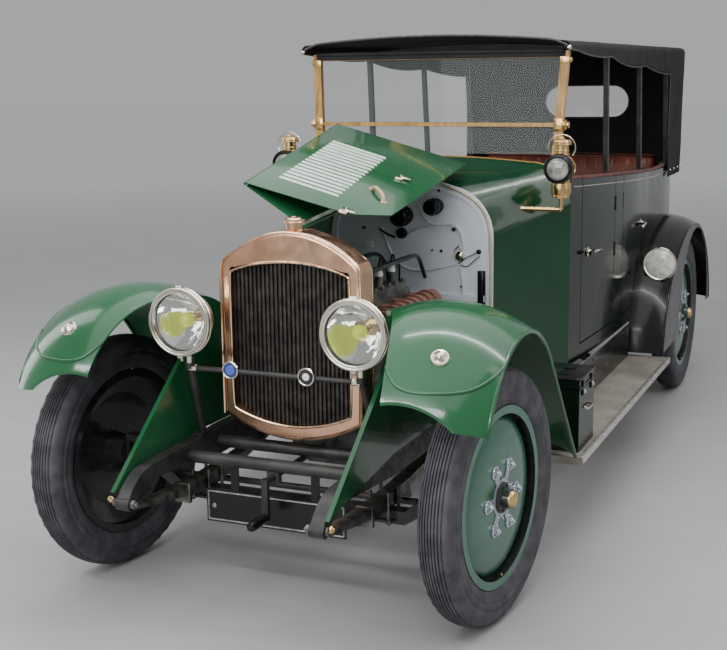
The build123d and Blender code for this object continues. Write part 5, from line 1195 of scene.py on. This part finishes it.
def fit_plugs():
    insulators = bmesh.new()
    leads = bmesh.new()
    for side in (1, -1):
        rail_x = side * lead_rail_x
        rod(leads, (rail_x, back(0.36), 1.040), (rail_x, back(0.90), 1.040), 0.010, sides=12)
        for distance in plug_distances:
            turned(insulators, [(0.0158, 0.0), (0.0158, 0.010), (0.0135, 0.014), (0.0135, 0.022),
                                (0.0100, 0.026), (0.0085, 0.034), (0, 0.035)],
                   (side * plug_x, back(distance), 1.000), upwards, steps=18)
            pipe(leads, [(rail_x, back(distance - 0.03), 1.040), (rail_x, back(distance - 0.03), 1.066),
                         (side * 0.066, back(distance - 0.01), 1.070),
                         (side * plug_x, back(distance), 1.034)], 0.0038, sides=6)
        pipe(leads, [(rail_x, back(0.90), 1.040), (rail_x, back(0.97), 1.040),
                     (side * 0.080, back(1.03), 1.000), (side * 0.075, back(1.09), 0.930)], 0.0085, sides=8)
    finish_piece("plug_insulators", insulators, white_enamel)
    finish_piece("plug_leads", leads, gloss_black)


def furnish_engine():
    nuts = bmesh.new()
    covers = bmesh.new()
    for side in (1, -1):
        for number in range(8):
            nut(nuts, (side * 0.085, back(0.345 + number * 0.067), 0.953), upwards, 0.0095, 0.010)
        for distance in cover_distances:
            nut(nuts, (side * 0.1165, back(distance), 0.800), (side, 0, 0), 0.013, 0.012)
            block(covers, (side * 0.1125, back(distance), 0.800), (0.009, 0.150, 0.120), 0.003)
        for number in range(9):
            nut(nuts, (side * 0.138, back(0.325 + number * 0.063), 0.6195), upwards, 0.008, 0.008)
        block(covers, (side * 0.1095, back(0.575), 0.640), (0.012, 0.500, 0.024), 0.003)
    finish_piece("engine_nuts", nuts, steel)
    block(covers, (-0.165, back(0.46), 0.700), (0.085, 0.120, 0.110), 0.012)
    turned(covers, [(0.034, -0.07), (0.034, 0.05), (0.028, 0.060), (0, 0.062)], (-0.165, back(0.60), 0.700),
           rearwards, steps=24)
    block(covers, (0.165, back(0.76), 0.705), (0.075, 0.085, 0.100), 0.010)
    turned(covers, [(0.038, 0), (0.038, 0.060), (0.034, 0.066), (0, 0.068)], (0.165, back(0.70), 0.690),
           forwards, steps=24)
    rod(covers, (0.165, back(0.76), 0.750), (0.180, back(0.76), 0.850), 0.020)
    finish_piece("engine_covers", covers, casting)

    shape = bmesh.new()
    for x, distance, z, radius in cap_table:
        turned(shape, [(radius * 0.7, 0), (radius * 0.7, 0.022), (radius, 0.024), (radius, 0.036),
                       (radius * 0.8, 0.041), (0, 0.042)], (x, back(distance), z), upwards, steps=20)
    studs(shape, [(0.0055, 0), (0.0055, 0.014), (0.009, 0.018), (0.009, 0.024), (0, 0.026)],
          [(0, back(distance), 0.953) for distance in plug_distances], upwards)
    pipe(shape, [(0.165, back(0.80), 0.690), (0.165, back(0.88), 0.690), (0.190, back(0.96), 0.720),
                 (0.200, back(1.04), 0.760), (0.205, back(1.107), 0.800)], 0.0045, sides=8)
    finish_piece("engine_brass", shape, brass)

    shape = bmesh.new()
    pipe(shape, [(0, back(0.40), 0.955), (0, back(0.36), 1.010), (0, back(0.28), 1.035),
                 (0, back(0.18), 1.060), (0, back(0.098), 1.075)], 0.024, sides=16)
    pipe(shape, [(-0.10, back(0.34), 0.660), (-0.10, back(0.28), 0.640), (-0.10, back(0.18), 0.625),
                 (-0.10, back(0.098), 0.620)], 0.022, sides=16)
    finish_piece("water_hoses", shape, rubber)


def fit_fan():
    shape = bmesh.new()
    centre = Vector((0, back(0.185), 0.850))
    rod(shape, centre + Vector((0, -0.02, 0)), centre + Vector((0, 0.14, 0)), 0.014)
    turned(shape, [(0, -0.022), (0.030, -0.020), (0.034, -0.010), (0.034, 0.030), (0.030, 0.036), (0, 0.036)],
           centre, rearwards, steps=24)
    for number in range(4):
        spoke = Matrix.Rotation(pi / 4 + number * pi / 2, 4, "Y")
        blade_centre = centre + spoke @ Vector((0.105, 0, 0))
        blade_turn = spoke @ Matrix.Rotation(fan_pitch, 4, "X")
        add_part(shape, box((0.150, 0.003, 0.062)), Matrix.Translation(blade_centre) @ blade_turn)
    turned(shape, ring(0.075, 0.006, 0.030, 8), centre, rearwards, steps=36, closed=True)
    finish_piece("cooling_fan", shape, casting)


fit_plugs()
furnish_engine()
fit_fan()


# Radiator: beads round its shell, a ribbed filler cap, and plain enamel discs on the tie bar
# columns: x and height of points round half of the shell's front, and then of its opening
shell_edge = (
    (0.2595, 0.600), (0.2595, 0.85), (0.2595, 1.095), (0.2555, 1.122), (0.236, 1.149), (0.170, 1.190),
    (0.090, 1.229), (0.0, 1.2415)
)
opening_edge = ((0.222, 0.632), (0.222, 0.85), (0.222, 1.088), (0.217, 1.102), (0.120, 1.130), (0, 1.142))
opening_foot = ((-0.210, 0.618), (-0.110, 0.584), (0, 0.571), (0.110, 0.584), (0.210, 0.618))
cap_height = 1.232
tie_bar_height = 0.79
tie_bar_back = back(-0.128)
# columns: hand, x, finish and radius of each disc on the tie bar
disc_table = (("right", -0.154, blue_enamel, 0.0262), ("left", 0.125, white_enamel, 0.0185))


def mirrored_line(half):
    """A line from the left side over the middle to the right."""
    return list(half) + [(-x, z) for x, z in reversed(half[:-1])]


def trim_radiator():
    shape = bmesh.new()
    for distance, radius in ((0.001, 0.0042), (0.100, 0.0040)):
        pipe(shape, [(x, back(distance), z) for x, z in mirrored_line(shell_edge)], radius, sides=8)
    opening = mirrored_line(opening_edge) + list(opening_foot)
    pipe(shape, [(x, back(0.0), z) for x, z in opening], 0.0050, sides=8, closed=True)
    cap = Vector((0, back(0.05), cap_height))
    turned(shape, [(0.0290, 0.000), (0.0345, 0.004), (0.0345, 0.009), (0.0290, 0.013)],
           cap, upwards, steps=32)
    turned(shape, ring(0.0345, 0.0022, 0.038, 6), cap, upwards, steps=32, closed=True)
    turned(shape, [(0.030, 0.046), (0.026, 0.050), (0.013, 0.052), (0.009, 0.055), (0, 0.056)],
           cap, upwards, steps=32)
    for number in range(24):
        angle = number * pi / 12
        x, y = 0.0335 * cos(angle), cap.y + 0.0335 * sin(angle)
        rod(shape, (x, y, 1.2635), (x, y, 1.2770), 0.0026, sides=6)
    finish_piece("radiator_beads", shape, bright_copper)


def dress_tie_bar():
    shape = bmesh.new()
    for x in (-0.154, 0.125):
        middle = Vector((x, tie_bar_back, tie_bar_height))
        turned(shape, ring(0.0275, 0.0034, 0.012, 8), middle, forwards, steps=36, closed=True)
        turned(shape, [(0.0275, 0.004), (0.0285, 0.010), (0.0255, 0.014)], middle, forwards, steps=36)
        rod(shape, middle, middle - Vector((0, 0.010, 0)), 0.010)
    for x in (-0.300, 0.300):
        rod(shape, (x - 0.014, tie_bar_back, 0.784), (x + 0.014, tie_bar_back, 0.784), 0.0125, sides=6)
    finish_piece("tie_bar_rings", shape, nickel_plate)
    for hand, x, finish, radius in disc_table:
        face = [(radius, 0.0105), (radius * 0.8, 0.0135), (radius * 0.4, 0.0150), (0, 0.0155)]
        turned_piece(f"tie_bar_disc_{hand}", finish, face, (x, tie_bar_back, tie_bar_height), forwards, 32)


trim_radiator()
dress_tie_bar()


# Oil lamps: black-rimmed lens, brass drum, chimney with a wire bail, and a ribbed font
oil_lamp_x = 0.60
oil_lamp_height = 1.372
chimney_distance = 1.238
# columns: radius, tube radius and height of each ring round the chimney and the font
oil_lamp_rings = (
    (0.0280, 0.0030, 1.412), (0.0300, 0.0030, 1.426), (0.0280, 0.0030, 1.440), (0.0375, 0.0030, 1.466),
    (0.0360, 0.0030, 1.474), (0.0335, 0.0028, 1.262), (0.0335, 0.0028, 1.283), (0.0335, 0.0028, 1.320)
)
bail_steps = 14
bail_start = radians(-35)
bail_sweep = radians(250)
bail_middle = 1.452
bail_half = 0.056
bail_rise = 0.052


def furnish_oil_lamp(side, hand):
    x = side * oil_lamp_x
    front = Vector((x, back(1.188), oil_lamp_height))
    shape = bmesh.new()
    turned(shape, [(0.0435, 0.004), (0.0435, -0.010), (0.0475, -0.014), (0.0555, -0.012), (0.0590, -0.004),
                   (0.0590, 0.012), (0.0560, 0.018)], front, rearwards, steps=48)
    turned(shape, ring(0.0570, 0.0026, 0.020, 8), front, rearwards, steps=48, closed=True)
    finish_piece(f"oil_lamp_rim_{hand}", shape, gloss_black)

    lens = [(0.0440, -0.008), (0.0380, -0.0125), (0.0280, -0.0165), (0.0150, -0.0190), (0, -0.0198)]
    turned_piece(f"oil_lamp_lens_{hand}", dim_glass, lens, front, rearwards, 40)

    shape = bmesh.new()
    for radius, tube, height in oil_lamp_rings:
        turned(shape, ring(radius, tube), (x, back(chimney_distance), height), upwards, steps=32, closed=True)
    turned(shape, [(0.0375, 0), (0.034, 0.007), (0.020, 0.012), (0.0115, 0.013), (0.0105, 0.018), (0, 0.019)],
           (x, back(chimney_distance), 1.476), upwards, steps=32)
    turned(shape, [(0.0335, 0), (0.0385, 0.004), (0.0400, 0.018), (0.0400, 0.036), (0.0385, 0.050),
                   (0.0335, 0.054)], (x, back(chimney_distance), 1.262), upwards, steps=36)
    for radius, distance in ((0.0555, 1.200), (0.0475, 1.262)):
        drum_end = (x, back(distance), oil_lamp_height)
        turned(shape, ring(radius, 0.0026), drum_end, rearwards, steps=40, closed=True)
    side_glass = Vector((x + side * 0.047, back(1.236), oil_lamp_height))
    turned(shape, ring(0.0180, 0.0030, 0.004, 8), side_glass, (side, 0, 0), steps=28, closed=True)
    finish_piece(f"oil_lamp_brass_{hand}", shape, brass)

    shape = bmesh.new()
    bail = []
    for number in range(bail_steps + 1):
        angle = bail_start + number * bail_sweep / bail_steps
        bail.append((x + bail_half * cos(angle), back(1.236), bail_middle + bail_rise * sin(angle)))
    pipe(shape, bail, 0.0024, sides=8)
    finish_piece(f"oil_lamp_bail_{hand}", shape, nickel_plate)


for side, hand in sides_and_hands:
    furnish_oil_lamp(side, hand)


# Windscreen: a dark header over the top rail, a brass bar with its swivels, and brass on the posts
screen_foot = 1.361
screen_high = 1.832
screen_lean = 0.04
bar_height = 1.533
screw_head = [(0.0035, 0), (0.003, 0.0018), (0, 0.0025)]


def screen_share(height):
    return (height - screen_foot) / (screen_high - screen_foot)


def screen_line(height):
    """Y of the windscreen's middle at a height."""
    return back(1.41 + screen_lean * screen_share(height))


def screen_half(height):
    return 0.53 + 0.027 * screen_share(height)


def furnish_windscreen():
    shape = bmesh.new()
    block(shape, (0, screen_line(1.822), 1.822), (1.118, 0.036, 0.032), 0.008)
    pipe(shape, [(-0.55, screen_line(1.82) - 0.020, 1.830), (0, screen_line(1.82) - 0.024, 1.834),
                 (0.55, screen_line(1.82) - 0.020, 1.830)], 0.008, sides=8)
    finish_piece("screen_header", shape, cloth)

    shape = bmesh.new()
    bar_y = screen_line(bar_height)
    half = screen_half(bar_height)
    top = screen_half(1.80)
    foot = screen_half(1.37)
    rod(shape, (-0.535, bar_y, bar_height), (0.535, bar_y, bar_height), 0.0090, sides=16)
    for side in (1, -1):
        outward = (side, 0, 0)
        turned(shape, [(0.020, 0), (0.022, 0.004), (0.022, 0.010), (0.014, 0.016), (0.014, 0.024),
                       (0, 0.026)], (side * (half + 0.016), bar_y, bar_height), outward, steps=24)
        block(shape, (side * half, bar_y - 0.016, bar_height), (0.036, 0.004, 0.052), 0.001)
        block(shape, (side * top, screen_line(1.80) - 0.0145, 1.792), (0.040, 0.005, 0.030), 0.0015)
        turned(shape, [(0.012, 0), (0.013, 0.004), (0.008, 0.010), (0, 0.012)],
               (side * (top + 0.018), screen_line(1.80), 1.795), outward, steps=20)
        block(shape, (side * foot, screen_line(1.37), 1.372), (0.046, 0.040, 0.024), 0.004)
        for offset in (-0.014, 0.014):
            studs(shape, screw_head, [(side * foot + offset, screen_line(1.37) - 0.020, 1.372),
                                      (side * half, bar_y - 0.018, bar_height + offset)], forwards, steps=10)
    finish_piece("screen_brass", shape, brass)


furnish_windscreen()


# Body edge: a leather roll along the top rail, in lengths that move with the doors
# columns: distance and half width of the body's top edge
edge_plan = ((1.40, 0.600), (1.65, 0.618), (1.90, 0.628), (2.70, 0.628), (3.04, 0.605), (3.60, 0.587))
rail_start = 1.40
rail_slope_end = 3.20
rail_high = 1.312
rail_low = 1.215
# columns: name, body it rides on, first and last distance
edge_lengths = (
    ("front", "car", 1.425, 1.553), ("front_door", "door_front", 1.566, 2.084),
    ("middle", "car", 2.097, 2.253), ("rear_door", "door_rear", 2.266, 2.824),
    ("rear", "car", 2.837, 3.60)
)
edge_steps = 8
# columns: door, way its handle points, hinge distance, handle distance, first and last distance of its trim
door_table = (("door_front", 1, 2.096, 1.642, 1.60, 2.05), ("door_rear", -1, 2.254, 2.748, 2.30, 2.79))
hinge_heights = (0.720, 0.940, 1.150)
handle_height = 0.984
# Layers of a door card
# columns: inset, height of its middle, thickness, how much shorter than the trim, depth, rounding
card_layers = (
    (0, 0.925, 0.008, 0.03, 0.560, 0.003), (0.007, 0.820, 0.010, 0.12, 0.230, 0.004),
    (0.014, 0.925, 0.004, 0.14, 0.022, 0.0015)
)


def body_half(distance):
    for (first, first_half), (last, last_half) in zip(edge_plan, edge_plan[1:]):
        if distance <= last:
            break
    return first_half + (last_half - first_half) * (distance - first) / (last - first)


def rail_height(distance):
    share = min((distance - rail_start) / (rail_slope_end - rail_start), 1)
    return rail_high + (rail_low - rail_high) * share


def trim_body_edge(side, hand):
    """Leather roll on the rail and a bright bead seated on the panel below it; the bead is a painted
    highlight for the light along the top edge.
    """
    for name, body, first, last in edge_lengths:
        rides_on = body if body == "car" else f"{body}_{hand}"
        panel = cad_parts["body_tub" if body == "car" else rides_on]
        roll_line = []
        highlight_bead_line = []
        for number in range(edge_steps + 1):
            distance = first + (last - first) * number / edge_steps
            half = body_half(distance)
            roll_line.append((side * (half - 0.014), back(distance), rail_height(distance) + 0.004))
            start = Vector((side * (half + 0.3), back(distance), rail_height(distance) - 0.030))
            found, point, normal, face = panel.ray_cast(start, Vector((-side, 0, 0)))
            near = found and abs(abs(point.x) - half) < 0.02
            highlight_bead_line.append(((point.x if near else side * half) + side * 0.0010, start.y, start.z))
        for piece, line, radius, sides, finish in (
            ("edge_roll", roll_line, 0.0115, 10, leather_edge),
            # The nickel bead stands in for the highlight along the top edge: a painted highlight
            ("edge_bead", highlight_bead_line, 0.0028, 8, nickel_plate),
        ):
            shape = bmesh.new()
            pipe(shape, line, radius, sides=sides)
            finish_piece(f"{piece}_{name}_{hand}", shape, finish, rides_on)


def furnish_doors(side, hand):
    for door, direction, hinge, latch, first, last in door_table:
        shape = bmesh.new()
        x = side * (body_half(hinge) + 0.0055)
        for height in hinge_heights:
            rod(shape, (x, back(hinge), height - 0.026), (x, back(hinge), height + 0.026), 0.0060)
            studs(shape, [(0.0072, -0.003), (0.0072, 0.003), (0, 0.004)],
                  [(x, back(hinge), height + end) for end in (-0.028, 0.028)], upwards)
        finish_piece(f"{door}_hinges_{hand}", shape, gloss_black)

        shape = bmesh.new()
        x = side * body_half(latch)
        turned(shape, [(0.022, 0), (0.022, 0.002), (0.012, 0.006), (0.010, 0.018)],
               (x, back(latch), handle_height), (side, 0, 0), steps=24)
        pipe(shape, [(x + side * 0.024, back(latch) - direction * 0.006, handle_height),
                     (x + side * 0.030, back(latch) + direction * 0.030, 0.985),
                     (x + side * 0.031, back(latch) + direction * 0.062, 0.983),
                     (x + side * 0.030, back(latch) + direction * 0.098, 0.980)], 0.0072, sides=10)
        turned(shape, [(0.0095, -0.006), (0.0105, 0), (0.0080, 0.006), (0, 0.008)],
               (x + side * 0.030, back(latch) + direction * 0.099, 0.980), (0, direction, 0), steps=16)
        finish_piece(f"{door}_handle_{hand}", shape, nickel_plate, f"{door}_{hand}")

        shape = bmesh.new()
        middle = (first + last) / 2
        inner = body_half(middle) - 0.0445
        lean = Matrix.Rotation(side * -atan2(body_half(last) - body_half(first), last - first), 4, "Z")
        for inset, height, thickness, shorter, depth, rounding in card_layers:
            block(shape, (side * (inner - inset), back(middle), height),
                  (thickness, last - first - shorter, depth), rounding, lean)
        finish_piece(f"{door}_card_{hand}", shape, leather, f"{door}_{hand}")


for side, hand in sides_and_hands:
    trim_body_edge(side, hand)
    furnish_doors(side, hand)


# Running boards: lengthwise ribs, a bright edge with its bolts, and an apron with its rivets
board_inner = 0.640
board_outer = 0.845
board_first = 0.664
board_last = 2.450
board_top = 0.365
toolbox_last = 0.985


def trim_running_board(side, hand):
    length = board_last - board_first - 0.05 + 0.04
    middle = back((board_first + board_last) / 2)
    shape = bmesh.new()
    for number in range(13):
        x = side * (board_inner + 0.022 + number * 0.0134)
        first = toolbox_last if side > 0 and x < 0.82 else board_first + 0.025
        run = board_last - 0.025 - first
        block(shape, (x, back(first + run / 2), board_top + 0.0010), (0.0052, run, 0.0026), 0.0008)
    finish_piece(f"board_ribs_{hand}", shape, plate_metal)
    shape = bmesh.new()
    block(shape, (side * (board_outer + 0.0005), middle, board_top - 0.010), (0.0050, length, 0.028), 0.0015)
    block(shape, (side * (board_outer - 0.006), middle, board_top + 0.0012), (0.014, length, 0.0036), 0.0012)
    bolts = [board_first + 0.06 + number * (board_last - board_first - 0.12) / 11 for number in range(12)]
    studs(shape, [(0.0042, 0), (0.0038, 0.0018), (0, 0.0026)],
          [(side * (board_outer + 0.003), back(distance), board_top - 0.010) for distance in bolts],
          (side, 0, 0), steps=10)
    finish_piece(f"board_edge_{hand}", shape, bright_edge)
    shape = bmesh.new()
    block(shape, (side * 0.6478, back(1.5685), 0.449), (0.0034, 1.674, 0.158), 0.001)
    studs(shape, [(0.006, 0), (0.005, 0.003), (0, 0.004)],
          [(side * 0.6495, back(0.80 + number * 0.17), 0.510) for number in range(10)],
          (side, 0, 0), steps=10)
    finish_piece(f"board_apron_{hand}", shape, gloss_black)


for side, hand in sides_and_hands:
    trim_running_board(side, hand)


# Toolbox on the left board: a lid's edge, straps, latches and a handle
latch_distances = (0.775, 0.905)


def dress_toolbox():
    shape = bmesh.new()
    block(shape, (0.7375, back(0.84), 0.604), (0.163, 0.240, 0.006), 0.002)
    block(shape, (0.7375, back(0.84), 0.640), (0.166, 0.243, 0.010), 0.003)
    for distance in latch_distances:
        block(shape, (0.8175, back(distance), 0.600), (0.006, 0.022, 0.055), 0.002)
    finish_piece("toolbox_trim", shape, gloss_black)
    shape = bmesh.new()
    studs(shape, [(0.009, 0), (0.009, 0.004), (0.005, 0.008), (0, 0.009)],
          [(0.8195, back(distance), 0.588) for distance in latch_distances], leftwards, steps=16)
    pipe(shape, [(0.8165, back(0.800), 0.520), (0.8290, back(0.802), 0.515), (0.8300, back(0.840), 0.512),
                 (0.8290, back(0.878), 0.515), (0.8165, back(0.880), 0.520)], 0.0040, sides=8)
    finish_piece("toolbox_latches", shape, nickel_plate)


dress_toolbox()


# Wings: a raised bead and a bright boss on each front wing, and a round lamp standing on the left rear wing
bead_steps = 20
boss_profile = (
    (0.0300, -0.004), (0.0300, 0.003), (0.0270, 0.007), (0.0225, 0.008), (0.0190, 0.005),
    (0.0150, 0.008), (0.0110, 0.014), (0.0060, 0.018), (0, 0.0185)
)


def bead_front_wings():
    """Raised bead across the nose of each front wing, and the bright boss above it."""
    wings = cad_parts["front_wings"]
    beads = bmesh.new()
    bosses = bmesh.new()
    for side in (1, -1):
        line = []
        for number in range(-bead_steps, bead_steps + 1):
            share = number / bead_steps
            start = Vector((side * (0.662 + 0.172 * share), back(-1.2), 0.845 + 0.070 * share ** 4))
            found, point, normal, face = wings.ray_cast(start, Vector(rearwards))
            if found and point.y < back(-0.1):
                line.append(point)
        if len(line) > 4:
            pipe(beads, line, 0.0055, sides=10)
        outward = Vector((side * 0.12, -0.62, 0.78)).normalized()
        start = Vector((side * 0.650, back(-0.315), 0.918))
        found, point, normal, face = wings.ray_cast(start + outward * 0.4, -outward)
        turned(bosses, boss_profile, point if found else start, normal if found else outward, steps=36)
    finish_piece("wing_beads", beads, green)
    finish_piece("wing_bosses", bosses, nickel_plate)


def fit_side_lamp():
    centre = Vector((0.752, back(2.618), 0.800))
    shape = bmesh.new()
    rod(shape, (0.752, back(2.700), 0.715), centre + Vector((0, 0.020, -0.060)), 0.011)
    rod(shape, (0.752, back(2.730), 0.790), centre + Vector((0, 0.030, -0.010)), 0.014)
    turned(shape, [(0.0, 0.050), (0.030, 0.048), (0.058, 0.036), (0.076, 0.018), (0.0800, 0.004),
                   (0.0830, -0.002), (0.0790, -0.008), (0.0740, -0.004)], centre, rearwards, steps=48)
    finish_piece("side_lamp_shell", shape, nickel_plate)
    lens = [(0.0755, -0.004), (0.0620, -0.010), (0.0420, -0.0145), (0.0200, -0.0170), (0, -0.0178)]
    turned_piece("side_lamp_lens", frosted_glass, lens, centre, rearwards, 48)


bead_front_wings()
fit_side_lamp()


# Front springs: nuts on their eye bolts, clips, U bolts round the axle, rivets and grease cups
iron_x = 0.338
iron_y = back(-0.515)
iron_z = 0.424


def bolt_front_springs():
    shape = bmesh.new()
    for side in (1, -1):
        spring_x = side * iron_x
        for offset, axis in ((0.026, side), (-0.026, -side)):
            nut(shape, (spring_x + side * offset, iron_y, iron_z), (axis, 0, 0), 0.015, 0.013)
        for distance in (-0.165, 0.165):
            block(shape, (spring_x, back(distance), 0.352), (0.062, 0.018, 0.070), 0.004)
        for x in (spring_x - 0.032, spring_x + 0.032):
            for y in (front_axle_y - 0.045, front_axle_y + 0.045):
                rod(shape, (x, y, 0.300), (x, y, 0.400), 0.0065, sides=8)
                nut(shape, (x, y, 0.302), (0, 0, -1), 0.0115, 0.010)
        studs(shape, [(0.0095, 0), (0.0085, 0.004), (0.005, 0.0065), (0, 0.007)],
              [(side * (iron_x + 0.022), back(-0.06 + number * 0.14), 0.490) for number in range(9)],
              (side, 0, 0))
    finish_piece("spring_fittings", shape, steel)
    shape = bmesh.new()
    for side in (1, -1):
        turned(shape, [(0.007, 0), (0.007, 0.010), (0.011, 0.012), (0.011, 0.024), (0.006, 0.028),
                       (0, 0.0285)], (side * (iron_x + 0.036), iron_y, iron_z), (side * 0.5, -0.3, 0.6),
               steps=16)
    finish_piece("grease_cups", shape, brass)


bolt_front_springs()


# Plates and starting handle: worn borders with two screws each, and a black grip
# columns: y, way it faces and lower edge of each plate
plate_table = ((back(-0.1425), -1, 0.255), (back(4.0868), 1, 0.590))
plate_half = 0.252
plate_depth = 0.115
screw_x = 0.230


def dress_plates_and_handle():
    shape = bmesh.new()
    for y, direction, low in plate_table:
        high = low + plate_depth
        line = [(-plate_half, y, low + 0.008), (-plate_half, y, high - 0.008), (plate_half, y, high - 0.008),
                (plate_half, y, low + 0.008)]
        for first, last in zip(line, line[1:] + line[:1]):
            rod(shape, first, last, 0.0032, sides=8)
        studs(shape, [(0.0085, 0.0), (0.0085, 0.003), (0.0045, 0.0055), (0, 0.006)],
              [(x, y, (low + high) / 2) for x in (-screw_x, screw_x)], (0, direction, 0), steps=16)
    finish_piece("plate_borders", shape, worn_alloy)
    shape = bmesh.new()
    turned(shape, [(0.0130, -0.052), (0.0165, -0.046), (0.0175, -0.010), (0.0165, 0.030), (0.0140, 0.046),
                   (0.0125, 0.052)], (0, back(-0.2575), 0.320), rearwards, steps=20)
    turned(shape, [(0.0135, 0), (0.0150, 0.004), (0.0105, 0.010), (0, 0.012)], (0, back(-0.309), 0.320),
           forwards, steps=20)
    finish_piece("handle_grip", shape, gloss_black)


dress_plates_and_handle()


# Dashboard and wheel: brass-rimmed dials with plain tick marks, switch knobs and the steering wheel's boss
column_foot = Vector((-0.285, back(0.72), 0.585))
column_top = Vector((-0.285, back(1.70), 1.238))
dash_face = back(1.4003)
# columns: x, height and radius of each dial
dial_table = ((-0.060, 1.200, 0.042), (0.050, 1.200, 0.042), (0.145, 1.190, 0.030), (0.240, 1.190, 0.030))
knob_places = [(x, dash_face, 1.180) for x in (-0.150, 0.310, 0.360, 0.410)]


def furnish_controls():
    rims = bmesh.new()
    faces = bmesh.new()
    marks = bmesh.new()
    for x, z, radius in dial_table:
        turned(rims, [(radius - 0.004, 0.012), (radius, 0.016), (radius + 0.006, 0.012),
                      (radius + 0.007, 0.001)], (x, dash_face, z), rearwards, steps=36)
        turned(faces, [(radius - 0.003, 0.011), (radius * 0.5, 0.0112), (0, 0.0113)],
               (x, dash_face, z), rearwards, steps=36)
        mark_y = dash_face + 0.0122
        for number in range(9):
            angle = radians(-40 + number * 32.5)
            rod(marks, (x + radius * 0.66 * cos(angle), mark_y, z + radius * 0.66 * sin(angle)),
                (x + radius * 0.82 * cos(angle), mark_y, z + radius * 0.82 * sin(angle)), 0.0009, sides=6)
        hand_y = dash_face + 0.0128
        rod(marks, (x, hand_y, z), (x - radius * 0.45, hand_y, z + radius * 0.40), 0.0011, sides=6)
    studs(rims, [(0.013, 0), (0.010, 0.006), (0.006, 0.012), (0.012, 0.020), (0.012, 0.028), (0, 0.030)],
          knob_places, rearwards, steps=20)
    finish_piece("dial_rims", rims, brass)
    finish_piece("dial_faces", faces, white_enamel)
    finish_piece("dial_marks", marks, gloss_black)
    axis = (column_top - column_foot).normalized()
    boss = [(0.036, 0.000), (0.038, 0.006), (0.030, 0.014), (0.020, 0.018), (0.018, 0.026), (0.010, 0.031),
            (0, 0.032)]
    turned_piece("steering_boss", brass, boss, column_top + axis * 0.024, axis, 28, "steering_wheel")


furnish_controls()


# Tail: a red-lensed lamp beside the plate, and studs that hold the hood's tail
hood_stud = [(0.0065, 0), (0.006, 0.0035), (0.003, 0.005), (0, 0.0055)]
stud_height = 1.185


def furnish_tail():
    centre = Vector((0.345, back(4.088), 0.690))
    shape = bmesh.new()
    rod(shape, centre + Vector((-0.085, -0.006, -0.02)), centre + Vector((0, 0.004, -0.02)), 0.007)
    turned(shape, [(0, -0.004), (0.030, -0.002), (0.034, 0.006), (0.034, 0.046), (0.031, 0.052),
                   (0.026, 0.050)], centre, rearwards, steps=32)
    turned(shape, ring(0.034, 0.0028, 0.012, 8), centre, rearwards, steps=32, closed=True)
    finish_piece("tail_lamp_shell", shape, brass)
    lens = [(0.027, 0.049), (0.022, 0.055), (0.012, 0.059), (0, 0.060)]
    turned_piece("tail_lamp_lens", red_glass, lens, centre, rearwards, 32)
    shape = bmesh.new()
    for side in (1, -1):
        studs(shape, hood_stud, [(side * (hood_half + 0.0015), back(distance), stud_height)
                                 for distance in (3.68, 3.80, 3.92, 4.02)], (side, 0, 0))
        turned(shape, [(0.010, 0), (0.009, 0.005), (0.005, 0.008), (0, 0.009)],
               (side * (hood_half - 0.010), back(hood_front + 0.004), 1.842), (side * 0.5, -0.9, 0), steps=14)
    y = back(hood_rear - hood_rake * (hood_crown - stud_height) / (hood_crown - hood_tail)) + 0.001
    studs(shape, hood_stud, [(-0.44 + number * 0.11, y, stud_height) for number in range(9)], rearwards)
    finish_piece("hood_studs", shape, nickel_plate)


furnish_tail()


# Floor: plain and pale, not part of the car, and paler with distance so that it meets the room
floor_reach = 60
fade_start = 4
fade_end = 16


def lay_floor():
    shape = bmesh.new()
    bmesh.ops.create_grid(shape, x_segments=1, y_segments=1, size=floor_reach)
    mesh = bpy.data.meshes.new("studio_floor")
    shape.to_mesh(mesh)
    shape.free()
    finish = Finish("studio_floor", (0.5, 0.5, 0.51), 0.5)
    near = finish.ramp(finish.noise(2.5), 0.3, 0.7, (0.40, 0.40, 0.405), (0.44, 0.44, 0.445))
    far = finish.ramp(finish.noise(2.5), 0.3, 0.7, (0.95, 0.96, 0.97), (0.96, 0.97, 0.98))
    faded = finish.spread(finish.distance(), fade_start, fade_end, 0, 1)
    finish.link(finish.blend(faded, near, far), finish.shader.inputs["Base Color"])
    finish.set("Specular IOR Level", 0.2)
    mesh.materials.append(finish.material)
    add_object("studio_floor", mesh)


lay_floor()
